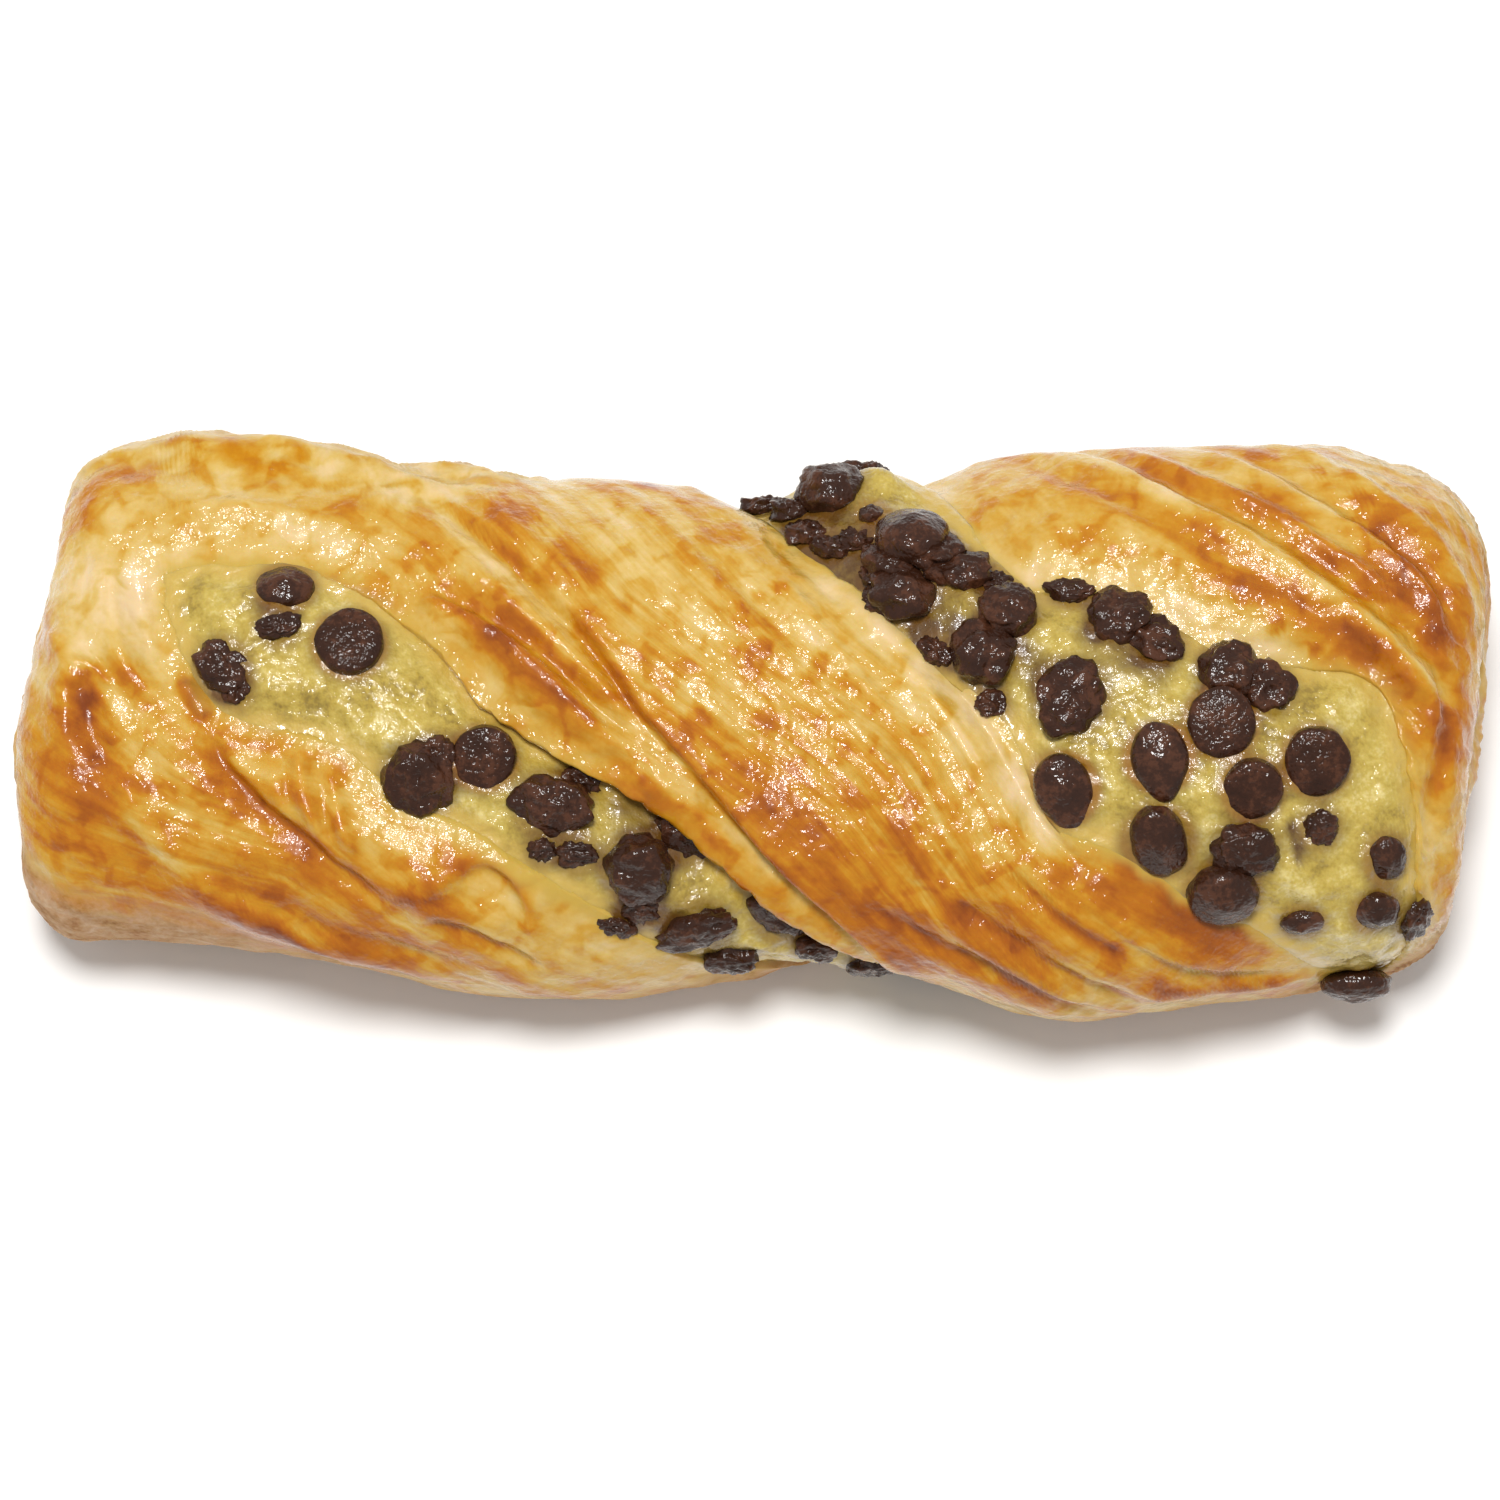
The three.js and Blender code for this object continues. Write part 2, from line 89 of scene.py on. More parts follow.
EDGE_STEPS = 150                  # pieces that a window's edge is measured in
PLACES_AT_ONCE = 20000            # measured in one go, to save memory
EDGE_BAYS, EDGE_NICKS = 0.5, 0.25  # how far a window's edge strays, in broad bays and in small nicks

LIP_DROP = 1.1                    # from the plain surface down to the edge of a window
LIP_ROLL = (4.5, 2.0)             # width of the roll down to a lip of 0, and of 1
LIP_PUSH = (0.0, 1.1)             # how far such a lip leans over the custard
LIP_WIDTH = 1.0                   # of the strip that leans
LIP_SET_BACK = 0.9                # share of the lean by which the lip starts further back
LOBE_RISE = 0.8
LOBE_WIDTH = 8.0
TRENCH = 4.5                      # depth of the dough's cut under the custard
TRENCH_START = (-0.5, 0.2)        # where it starts, out from the edge, at a lip of 0 and of 1
TRENCH_WIDTH = 1.1
CUSTARD_RISE = 1.7
CUSTARD_ROLL = 5.0
CUSTARD_CLEAR = 0.4               # height of the custard off the floor, underneath
# The custard swells at the back, under the thickest of the chips.
SWELLING = dict(x=11, angle=8, rise=2.6, length=8, turn=24)

# ---------------------------------------------------------------- folds and browning

MIDDLE_CREASE = [(-34, 26), (-28, 37), (-22, 50), (-15, 73), (-10, 97), (-5, 114), (2, 137), (10, 157),
                 (15, 174), (22, 192)]
RIDGE_CREST = [(-33, 62), (-28.5, 66), (-22, 78), (-17, 93), (-11, 112)]
FRONT_CREASE = [(-53, 114), (-51, 128), (-47, 137), (-43, 142), (-40, 148), (-34, 151)]
PILLOW_CREST = [(-40, 143), (-35, 150), (-31, 146), (-26, 140), (-22, 147), (-21, 164)]
PALE_RIDGE = [(27, 8), (35.5, 26), (42, 40), (53, 60), (61, 76), (66, 92), (68, 110)]

# A fold's height, its width on its low-angle side and on its high-angle side, and its path.
FOLDS = [
    # the middle lobe laps over the ridge beside it, and a crack runs along its foot
    (1.0, 5.0, 0.5, MIDDLE_CREASE),
    (-0.7, 0.4, 0.9, [(x, angle + 2.6) for x, angle in MIDDLE_CREASE]),
    # ridge above the left window, with a sharp crest and a smooth flank
    (1.0, 0.7, 3.0, RIDGE_CREST),
    (-0.7, 1.4, 0.6, [(x + 1, angle - 3) for x, angle in RIDGE_CREST]),
    (0.5, 1.2, 1.2, [(-30, 48), (-22, 64), (-16, 82), (-11, 100)]),
    (0.6, 1.6, 1.0, [(-14, 108), (-8, 122), (0, 144), (8, 162), (16, 182)]),
    (-0.5, 0.6, 0.8, [(-12, 102), (-5, 121), (3, 144), (11, 164)]),
    # left end: its streaked side, its front fold and the hollow in it
    (0.7, 1.0, 1.4, [(-63, 50), (-62.5, 78), (-60.5, 97), (-57, 110)]),
    (-0.6, 0.8, 1.2, [(-60, 62), (-59.5, 80), (-58, 96)]),
    (0.9, 1.0, 2.0, [(-62, 124), (-59, 140), (-53, 154), (-44, 163), (-34, 170)]),
    (-0.9, 1.6, 1.2, [(-66, 98), (-64.5, 116), (-62, 132)]),
    (0.8, 1.2, 1.6, [(-69, 74), (-66.5, 90), (-66.5, 106), (-67, 124)]),
    (0.5, 0.5, 0.7, [(-66, 92), (-64, 95), (-62.5, 103)]),
    (0.8, 0.7, 0.6, [(-56, 101), (-54.5, 108), (-53, 115)]),
    # pillow under the left window, the crease in front of it and the ripples on it
    (1.2, 3.5, 3.0, [(-48, 122), (-42, 133), (-34, 139), (-26, 146)]),
    (-1.3, 0.9, 1.3, FRONT_CREASE),
    (0.9, 1.8, 0.7, PILLOW_CREST),
    (0.8, 1.8, 1.8, [(-34, 153), (-28, 152), (-23, 156)]),
    (-0.8, 0.6, 0.8, [(-32, 155), (-27, 158), (-20, 168)]),
    (-0.5, 0.6, 0.6, [(-45.5, 120), (-45, 130), (-43.5, 138)]),
    (0.5, 0.6, 0.6, [(-44, 119), (-43.2, 130), (-42, 139)]),
    (-0.5, 0.6, 0.6, [(-42.3, 120), (-41.6, 130), (-40.5, 141)]),
    (0.4, 0.6, 0.6, [(-40.8, 122), (-40, 132), (-38.8, 142)]),
    (0.6, 1.4, 1.6, [(-52, 162), (-40, 170), (-26, 174)]),
    (-0.5, 0.8, 0.8, [(-58, 146), (-48, 158), (-36, 165), (-24, 170)]),
    # back left: its rough upper edge
    (-0.6, 1.6, 1.8, [(-66, 25), (-59, 28), (-52, 34), (-44, 32), (-36, 35)]),
    (0.7, 1.4, 1.2, [(-64, 18), (-54, 24), (-44, 22), (-34, 26), (-26, 28)]),
    (0.4, 0.8, 0.8, [(-60, 42), (-46, 42), (-36, 48)]),
    # middle lobe: pale strands along the right window, and ripples over the crown
    (0.5, 1.2, 0.8, [(4, 34), (13, 70), (19, 98), (25, 126), (33, 148)]),
    (-0.5, 0.6, 0.8, [(8, 40), (15, 66), (22, 98), (28, 128), (34, 144)]),
    (0.4, 0.8, 0.8, [(1, 40), (8, 72), (14, 100), (20, 126)]),
    (-0.4, 0.9, 0.9, [(-3, 46), (5, 76), (11, 104), (17, 128)]),
    # its lower end, folded in long pleats
    (-0.9, 0.8, 0.8, [(11, 147), (17.5, 157), (23, 162), (29, 168), (35, 180)]),
    (0.7, 1.0, 1.2, [(15, 146), (21, 154), (27, 161), (34, 172)]),
    (-0.8, 0.6, 0.8, [(19, 145), (24, 152.5), (30, 161), (39, 176)]),
    (-0.7, 0.5, 0.7, [(24, 138), (28, 145), (32, 152), (38, 162)]),
    (0.6, 0.9, 0.9, [(27, 141), (33, 150), (40, 160), (47, 168)]),
    (-0.7, 0.5, 0.7, [(30, 143), (34, 151), (40, 162), (46, 170), (55, 176)]),
    (0.6, 0.7, 1.0, [(36, 168), (44, 174), (51, 176), (58, 180)]),
    # right lobe: long ridges with grooves between them
    (0.9, 1.0, 1.4, PALE_RIDGE),
    (-0.8, 0.8, 1.2, [(x + 2.2, angle - 4) for x, angle in PALE_RIDGE]),
    (-0.6, 0.9, 1.3, [(x - 2.2, angle + 5) for x, angle in PALE_RIDGE]),
    (0.8, 1.6, 2.6, [(28, 26), (42, 50), (54, 72), (62, 87), (65, 104)]),
    (0.7, 0.8, 1.0, [(34, 14), (42, 28), (50, 42), (59, 58), (64, 70)]),
    (0.7, 0.9, 1.1, [(42, 14), (52, 36), (60, 49), (65, 60), (68, 78)]),
    (-0.7, 0.7, 0.9, [(45, 14), (55, 34), (62, 46), (67, 60), (69.5, 80)]),
    (0.7, 1.0, 1.2, [(50, 14), (58, 28), (64, 40), (69, 54), (71, 72)]),
    (-0.8, 0.9, 0.9, [(66.5, 86), (68.5, 102), (68, 116), (67.5, 130), (68, 142)]),
    (0.5, 1.2, 1.2, [(21, 9), (25, 11), (30, 20), (36, 34)]),
    # the tucked ends
    (-0.6, 2.0, 2.6, [(-74, 14), (-76, 50), (-77, 95), (-76, 140), (-74, 172)]),
    (0.6, 2.0, 2.4, [(-78, 20), (-80, 60), (-81, 120), (-78, 165)]),
    (-0.6, 1.8, 2.2, [(-75, 205), (-77, 240), (-77, 290), (-75, 330)]),
    (-0.6, 2.6, 2.0, [(75, 28), (78, 60), (79, 100), (77, 140), (75, 172)]),
    (0.6, 2.4, 2.0, [(79, 44), (82, 80), (83, 130), (80, 165)]),
    (-0.6, 2.2, 1.8, [(77, 205), (79, 240), (79, 290), (77, 330)]),
    # behind, in front and underneath
    (1.0, 1.6, 2.6, [(-62, -70), (-48, -40), (-36, -14)]),
    (-1.0, 1.2, 2.0, [(-46, -6), (-36, 10), (-26, 30)]),
    (-1.0, 1.2, 2.0, [(-58, 186), (-34, 200), (-12, 222), (10, 262)]),
    (0.9, 1.8, 2.6, [(14, 198), (34, 222), (50, 250), (64, 280)]),
    (0.8, 1.6, 2.2, [(-20, -20), (-8, 4), (4, 40)]),
    (-0.7, 1.4, 1.4, [(30, -20), (44, 0), (58, 14)]),
]

BAKE_BASE = 0.35                  # browning of the glazed crust where no stroke crosses it
BAKE_SHARE = 0.75                 # of a stroke's amount that shows
POOL_SHARE = 0.6                  # and of a bead's

# Strokes of darker (over 0) or paler (under 0) bake: amount, half width, path. One, marked below, is partly
# painted shade.
BAKE_AND_SHADE = [
    # left end and front
    (0.60, 1.1, [(-65.4, 94), (-64.8, 104), (-64.6, 116)]),
    (0.36, 2.4, [(-65.4, 102), (-64.6, 114), (-64, 132)]),
    (0.20, 3.8, [(-66, 110), (-64, 128), (-62, 142)]),
    (0.30, 0.6, [(-66, 91), (-64, 94), (-62.5, 103)]),
    (0.26, 7.0, [(-70, 118), (-66, 140), (-58, 154), (-46, 166), (-32, 174)]),
    (0.60, 0.9, [(-56, 100), (-54.5, 108), (-53, 116)]),
    (0.40, 0.8, FRONT_CREASE),
    (0.25, 2.4, FRONT_CREASE),
    (0.34, 1.0, PILLOW_CREST),
    (0.35, 0.5, [(-32, 155), (-27, 158), (-20, 168)]),
    (-0.30, 1.1, [(-62, 126), (-59, 141), (-53, 155), (-46, 160), (-38, 166)]),
    (0.30, 3.0, [(-56, 152), (-46, 163), (-34, 169), (-20, 172)]),
    (0.22, 1.6, [(-45, 124), (-42, 136)]),
    (-0.16, 3.0, [(-46, 118), (-36, 128), (-28, 140)]),
    (-0.24, 3.4, [(-64, 54), (-63, 78), (-60, 98)]),
    (-0.05, 5.0, [(-60, 42), (-46, 44), (-33, 54)]),
    (0.34, 1.6, [(-66, 58), (-64.8, 42), (-63.8, 30), (-59.8, 26), (-54.8, 27), (-48.8, 29), (-42.5, 31),
                 (-36, 31)]),
    (0.26, 1.4, [(-54, 6), (-51, 24), (-48, 34)]),
    (0.16, 2.6, [(-62, 8), (-58, 16), (-56, 22)]),
    (0.16, 2.2, [(-44, 10), (-38, 20), (-30, 24)]),
    (-0.20, 2.6, [(-30, 48), (-23, 56), (-16, 70)]),
    (0.28, 3.0, [(-50, 110), (-45, 120), (-37, 129)]),
    (-0.10, 4.0, [(-56, 64), (-50, 56), (-42, 56)]),
    (0.50, 0.6, [(-45, 57), (-41, 57.5), (-37.5, 60), (-33, 66)]),
    # the ridge and the strip along the middle lobe's foot
    (0.40, 1.8, [(-30, 69), (-24, 79), (-18, 95), (-12, 112), (-6, 128)]),
    (0.26, 0.6, RIDGE_CREST),
    (0.30, 1.0, [(x + 1.2, angle - 4) for x, angle in RIDGE_CREST]),
    (-0.26, 1.4, [(-18, 84), (-12, 104), (-5, 122), (3, 143), (10, 160), (17, 182)]),
    (0.30, 0.9, [(-14, 117), (-8, 132), (0, 152)]),
    (0.36, 0.5, [(x, angle + 1.5) for x, angle in MIDDLE_CREASE]),
    # darker band along the left window's edge by the custard: partly browned crust, partly painted shade of
    # the crevice there
    (0.34, 1.4, [(-18, 110), (-8, 128), (0, 146), (8, 166)]),
    (0.12, 2.4, MIDDLE_CREASE),
    # middle lobe
    (0.40, 1.7, [(-26, 33), (-21, 40)]),
    (0.34, 2.0, [(-20, 45), (-14, 54)]),
    (0.20, 7.0, [(0, 94), (8, 124), (16, 150), (30, 176)]),
    (0.14, 5.0, [(20, 150), (31, 160), (44, 172)]),
    (0.22, 3.0, [(-4, 96), (3, 120), (10, 146), (20, 166)]),
    (0.30, 1.6, [(6, 146), (11, 157), (18, 166)]),
    (-0.22, 2.6, [(4, 40), (12, 68), (19, 100), (26, 130)]),
    (-0.20, 1.0, [(12, 52), (18, 76), (24, 106), (30, 132)]),
    (-0.24, 5.0, [(-14, 26), (-8, 44), (2, 58)]),
    (0.36, 0.5, [(11, 147), (17.5, 157), (23, 162), (29, 168), (35, 180)]),
    (0.34, 0.5, [(19, 145), (24, 152.5), (30, 161), (39, 176)]),
    (0.32, 0.5, [(24, 138), (28, 145), (32, 152), (38, 162)]),
    (0.46, 3.0, [(28, 132), (35, 145), (44, 158), (52, 168)]),
    (0.26, 1.8, [(31, 130), (36, 139), (42, 150), (49, 160)]),
    (-0.22, 0.8, [(30, 140), (36, 151), (44, 163), (52, 170)]),
    (0.30, 0.5, [(36, 166), (44, 173), (51, 175), (58, 180)]),
    # right lobe
    (0.34, 2.0, [(30, 32), (42, 49), (54, 72), (62.5, 87), (66, 104), (66, 120)]),
    (-0.30, 1.0, PALE_RIDGE),
    (0.30, 1.8, [(33, 14), (42, 30), (51, 46), (60, 62), (65, 74)]),
    (0.26, 2.0, [(44, 14), (53, 32), (61, 46), (67, 60)]),
    (0.50, 1.5, [(62, 61), (66, 68), (69, 78)]),
    (0.45, 1.0, [(67, 90), (68.5, 104), (68, 116), (67.5, 132)]),
    (0.22, 3.5, [(70, 60), (72, 98), (70, 124)]),
    (0.18, 4.0, [(60, 42), (65, 58), (69, 80)]),
    (-0.18, 2.0, [(20, 42), (28, 52), (36, 59), (48, 80), (56, 90)]),
    (-0.20, 0.7, [(45, 22), (54, 39), (62, 52), (67, 66)]),
]

# Beads of caramelised glaze: x, angle, length, width, turn, amount.
POOLS = [
    (-10, 18, 2.4, 2.0, 0, 0.40), (-3.8, 38, 3.6, 2.4, 10, 0.45), (1, 56, 1.6, 1.8, 0, 0.4),
    (3, 53, 1.8, 1.4, 30, 0.4), (-1, 64, 1.8, 3.0, 0, 0.4), (0.5, 77, 2.2, 6.4, 25, 0.4),
    (1.6, 96, 3.0, 3.2, 0, 0.35), (6.5, 80, 1.8, 5.0, 25, 0.4), (-5.5, 100, 2.2, 4.6, 30, 0.35),
    (-13, 30, 1.6, 1.2, 0, 0.3), (-7, 60, 1.8, 3.4, 30, 0.25), (-2, 22, 1.2, 1.0, 0, 0.3),
    (9, 108, 1.6, 3.2, 25, 0.25), (14, 128, 1.8, 3.0, 25, 0.25), (20, 148, 2.0, 1.6, 0, 0.3),
    (-67.5, 148, 1.6, 4.0, 15, 0.3), (-61.5, 162, 2.6, 1.8, -30, 0.3), (-49.5, 158, 1.2, 1.0, 0, 0.3),
    (51.2, 75, 1.8, 1.4, 0, 0.45), (55, 82, 1.6, 1.4, 0, 0.45), (60, 38, 2.2, 1.6, 20, 0.35),
    (56, 30, 1.6, 1.2, 0, 0.3), (64, 58, 1.6, 1.6, 0, 0.35), (27, 30, 2.8, 1.6, 20, 0.25),
    (40, 168, 1.6, 1.2, 0, 0.35), (36, 158, 2.0, 1.2, 30, 0.3), (-47, 34, 2.0, 1.4, 0, 0.35),
    (-26, 30, 1.8, 1.4, 0, 0.3),
]

# Where the glaze stops, at the front and at the back: x and angle. Below it the crust is bare and floury.
BARE_FRONT = [(-72, 158), (-65, 164), (-53, 170), (-47, 176), (-40, 182), (-30, 188), (0, 192), (30, 194),
              (50, 190), (72, 184)]
BARE_BACK = [(-72, -14), (-40, -18), (-10, -14), (20, -18), (50, -14), (72, -10)]
# Above that, the left end's back is flaky and hardly glazed, up to these angles.
FLAKY_BACK = [(-72, 20), (-65, 27), (-53, 33), (-45, 32), (-33, 36), (-24, 22), (-16, 2), (-8, -20)]
FLAKY_STOP = (-14, -20)           # x from which it isn't flaky, and is
BARE_STRAY = dict(bays=1.4, nicks=0.7, sweep=1.6)  # how far those edges stray, in mm
BARE_BLEND = (-3.6, 3.2)          # mm past the glaze's edge where the crust starts to be bare, and is
FLAKY_BLEND = (-1.6, 1.6)         # and where it starts to be flaky, and is

# ---------------------------------------------------------------- chocolate chips

# Each chip's x, angle, length, width, turn, rise over the custard, and form.
CHIPS = [
    (-45.5, 65, 5.8, 4.8, 0, -0.1, "dome"), (-46, 80, 4.6, 2.4, 5, -0.1, "rough"),
    (-51.6, 95.5, 6.0, 4.4, -38, 0.0, "rough"), (-50.2, 102, 4.2, 3.0, -55, -0.2, "rough"),
    (-39, 82, 6.7, 6.7, 0, 0.1, "disc"), (-32.2, 122, 6.8, 7.0, 0, 0.1, "rough"),
    (-30.2, 114, 3.6, 4.2, 0, -0.3, "rough"), (-25.8, 112, 6.3, 6.2, 0, 0.2, "disc"),
    (-19.2, 125, 8.2, 5.6, -10, 0.0, "rough"), (-16.5, 119, 3.8, 3.0, -20, -0.2, "rough"),
    (-16.8, 138, 4.2, 2.8, 0, -0.3, "rough"), (-20.2, 137, 2.6, 2.4, 0, -0.1, "rough"),
    (-10.8, 142, 6.6, 7.6, 0, 0.5, "lump"), (-6.2, 137, 6.2, 4.6, -25, 0.0, "rough"),
    (-10.8, 154, 4.0, 3.4, 0, -0.2, "rough"), (-13, 158, 4.0, 2.4, -30, -0.1, "rough"),
    (-5.2, 160, 8.8, 4.4, 32, 0.2, "rough"), (4, 160, 8.6, 5.6, -28, 0.0, "rough"),
    (-2, 176, 5.8, 4.4, 0, 0.3, "rough"), (6.5, 174, 4.4, 4.0, 0, 0.2, "rough"),
    (1.5, 12, 4.6, 3.6, 0, 0.2, "rough"), (4, 21, 4.0, 4.0, 0, 0.2, "rough"),
    (8, 22, 6.8, 6.8, 0, 0.2, "lump"), (11, 9, 5.4, 4.4, 0, 0.2, "rough"),
    (5.6, 30, 4.4, 4.0, 0, -0.2, "rough"), (12, 33, 2.6, 3.0, 0, -0.2, "dome"),
    (16, 43, 7.6, 7.4, 0, 0.5, "dome"), (13.6, 47, 5.2, 5.6, 0, 0.2, "rough"),
    (18.4, 47, 5.4, 5.0, 30, 0.3, "rough"),
    (15, 57, 6.8, 5.6, -20, 0.3, "lump"), (20.6, 52, 6.2, 4.8, 0, 0.3, "rough"),
    (8, 37, 4.6, 3.4, -35, -0.1, "rough"), (12.8, 57, 4.2, 3.0, -30, 0.0, "rough"),
    (18.2, 75, 3.8, 2.6, -40, -0.1, "rough"), (24, 53.5, 3.2, 2.8, 0, -0.2, "rough"),
    (25, 65, 5.6, 6.2, 0, 0.5, "lump"), (22.8, 77, 6.2, 6.4, 0, 0.3, "lump"),
    (23.4, 93, 3.2, 2.6, 0, 0.0, "rough"),
    (10.5, 38, 3.6, 3.0, -40, -0.1, "rough"), (12.6, 50, 3.6, 3.2, -40, 0.0, "rough"),
    (31, 92, 6.4, 7.6, -20, 0.1, "rough"), (31.2, 57, 4.8, 2.6, -10, 0.0, "rough"),
    (36, 67, 6.2, 5.8, -35, 0.2, "rough"), (39.5, 76, 5.4, 4.6, -35, 0.1, "rough"),
    (46.6, 88, 6.0, 6.0, 0, 0.2, "lump"), (50, 94, 6.0, 5.2, -30, 0.1, "rough"),
    (45.5, 104, 6.6, 7.0, 0, 0.1, "disc"), (39.5, 112, 5.6, 7.0, 10, 0.1, "drop"),
    (30.3, 119, 5.8, 7.2, 20, 0.1, "drop"), (54.8, 116, 6.3, 6.8, 0, 0.2, "disc"),
    (48.5, 122, 5.8, 5.8, 0, 0.1, "disc"), (39.5, 134, 5.6, 7.8, 15, 0.0, "dome"),
    (47.8, 137, 6.6, 5.2, -10, 0.1, "rough"), (45.8, 148, 7.0, 6.8, 0, 0.2, "dome"),
    (53.8, 156, 4.4, 3.0, 12, -0.1, "dome"), (55.2, 133, 3.2, 3.8, 0, -0.1, "rough"),
    (61.8, 142, 4.0, 5.0, 0, 0.0, "dome"), (61, 154, 4.6, 4.4, 0, 0.0, "dome"),
    (66, 161, 3.2, 5.6, 0, 0.4, "rough"), (60.2, 185, 7.2, 5.4, 0, 1.3, "dome"),
]
# Lumps that the custard stands up in: x, angle, half width, height.
CUSTARD_LUMPS = [(12.8, 21, 2.6, 1.5), (21.4, 61, 1.6, 0.9), (-3.5, 150, 2.2, 0.5), (44, 120, 2.4, 0.4)]
# Brown smears on it, where chocolate has melted: amount, half width, path.
SMEARS = [
    (2.6, 2.4, [(3, 14), (6, 29), (8.5, 38), (11, 48), (14, 57), (16.5, 62), (19, 72), (20.5, 86)]),
    (1.4, 2.2, [(31.5, 65), (35, 76), (37.8, 84), (41.8, 90)]),
    (1.6, 0.8, [(51.8, 130), (52.8, 136), (53.2, 142)]),
    (1.4, 1.6, [(-14.5, 122), (-10.8, 130), (-6.8, 136), (-4, 140)]),
    (1.3, 1.5, [(-10.8, 148), (-8.8, 156), (-6, 162)]),
    (1.0, 1.4, [(42.8, 82), (46.5, 88), (49.5, 95)]),
    (1.4, 1.4, [(26.2, 74), (27.8, 83), (29, 90)]),
    (0.8, 1.6, [(-49, 70), (-47, 76), (-44, 80)]),
]
# Out of sight the chips keep the same spacing: window, first x, last x, count.
HIDDEN_CHIPS = [(LEFT_WINDOW, 12, 50, 9), (RIGHT_WINDOW, -54, -4, 12)]
CHIP_LENGTHS = (5.0, 6.8)
CHIP_WIDTHS = (0.8, 1.0)          # share of the length
CHIP_ROWS = (0.3, 0.7)            # share of the way across the window
CHIP_STRAY = 0.06                 # from its row, as such a share
CHIP_TURN = 40                    # at most, either way
CHIP_RISE = 0.1                   # of a chip's middle over the custard
CHIP_SEED = 11

# ---------------------------------------------------------------- small helpers


def bell(distance, width):
    """1 at no distance, falling off smoothly on both sides."""
    return np.exp(-(distance / width) ** 2)


def ease(low, high, value):
    """0 under low, 1 over high and a smooth step between them. low may be the larger."""
    share = np.clip((value - low) / (high - low), 0, 1)
    return share * share * (3 - 2 * share)


def mix(low, high, share):
    return low + (high - low) * share


def through(knots, x, column=1):
    """A smooth curve through knots of (x, value, ...), level with its neighbours."""
    knots = np.asarray(knots, float)
    at, values = knots[:, 0], knots[:, column]
    last = len(at) - 1
    order = np.arange(len(at))
    before, after = np.maximum(order - 1, 0), np.minimum(order + 1, last)
    slopes = (values[after] - values[before]) / (at[after] - at[before])
    held = np.clip(x, at[0], at[-1])
    i = np.clip(np.searchsorted(at, held, side="right") - 1, 0, last - 1)
    span = at[i + 1] - at[i]
    t = (held - at[i]) / span
    return ((2 * t**3 - 3 * t**2 + 1) * values[i] + (t**3 - 2 * t**2 + t) * span * slopes[i]
            + (3 * t**2 - 2 * t**3) * values[i + 1] + (t**3 - t**2) * span * slopes[i + 1])


NOISE_SIDE = 256                  # cells after which the noise comes round again
NOISE_GAIN = 1.6                  # brings it to about -1 to 1
NOISE_SHIFT = 17.31               # cells between the patterns of two seeds
noise_order = np.random.default_rng(5).permutation(NOISE_SIDE)
noise_slopes = np.random.default_rng(6).normal(size=(NOISE_SIDE, 3))
noise_slopes /= np.linalg.norm(noise_slopes, axis=1, keepdims=True)

# Each pattern's size of bumps in mm, by direction where they differ, and its own seed.
PATTERNS = {
    "edge bays": (6.0, 1), "edge nicks": (1.6, 2),
    # of the dough, across the strand and twice along it
    "strand ridges": ((3.2, 30, 30), 3), "strand layers": ((0.9, 14, 14), 4),
    "strand dabs": ((1.8, 6, 6), 11),
    # of the dough, the same in any direction or longest along the loaf
    "lumps": (11.0, 5), "puckers": (3.0, 6), "clouds": (5.0, 10), "soaked edge": (2.0, 12),
    "broad flakes": ((7.0, 3.4, 3.4), 7), "fine flakes": ((3.0, 1.8, 1.8), 8),
    "wrinkles": ((3.4, 2.2, 2.2), 9), "bead edge": (1.3, 20),
    "bare bays": (4.5, 21), "bare nicks": (1.3, 22), "bare sweep": (9.0, 23),
    # of the custard
    "custard swells": (5.0, 30), "custard bubbles": (2.4, 31), "custard pimples": (1.1, 32),
    "rim edge": (2.0, 33), "smear edge": (1.6, 34),
    # of a chip, on a ball of CHIP_BALL
    "chip lumps": (1.7, 40), "chip crumbs": (0.95, 41), "chip grit": (0.5, 42),
}


def noise(points, name):
    """Smooth noise, about -1 to 1, in one of the patterns."""
    cell, seed = PATTERNS[name]
    scaled = np.asarray(points, float) / cell + seed * NOISE_SHIFT
    corner = np.floor(scaled).astype(np.int64)
    part = scaled - corner
    fade = part**3 * (part * (part * 6 - 15) + 10)
    total = np.zeros(scaled.shape[:-1])
    for shift in np.ndindex(2, 2, 2):
        ix, iy, iz = np.moveaxis((corner + shift) % NOISE_SIDE, -1, 0)
        index = noise_order[(noise_order[(noise_order[ix] + iy) % NOISE_SIDE] + iz) % NOISE_SIDE]
        slope = noise_slopes[index]
        weight = np.prod(np.where(shift, fade, 1 - fade), axis=-1)
        total += weight * np.sum(slope * (part - shift), axis=-1)
    return total * NOISE_GAIN


# ---------------------------------------------------------------- the loaf's plain surface


def section(x):
    """Middle line y and z, half width and height of the section at x."""
    height = through(STATIONS, x, 3)
    return through(STATIONS, x, 1), MIDDLE_HEIGHT * height, through(STATIONS, x, 2), height


def section_radius(x, angle):
    _, z, half, height = section(x)
    sine = np.sin(np.radians(angle))
    across = np.abs(np.cos(np.radians(angle))) / half
    up = np.abs(sine) / np.where(sine >= 0, height - z, z * SAG)
    return (across**SQUARENESS + up**SQUARENESS) ** (-1 / SQUARENESS)


def press_flat(z):
    """A height, with what would lie below the floor pressed flat onto it."""
    raw = z + FLAT_EASE / 2
    eased = raw * raw / (2 * FLAT_EASE)
    return np.where(raw <= 0, 0, np.where(raw < FLAT_EASE, eased, raw - FLAT_EASE / 2))


def end_reach(end, angle):
    """x of an end's face at an angle: each end is cut a little askew."""
    turn = np.radians(angle)
    return end["reach"] + end["backward"] * np.cos(turn) + end["upward"] * np.sin(turn)


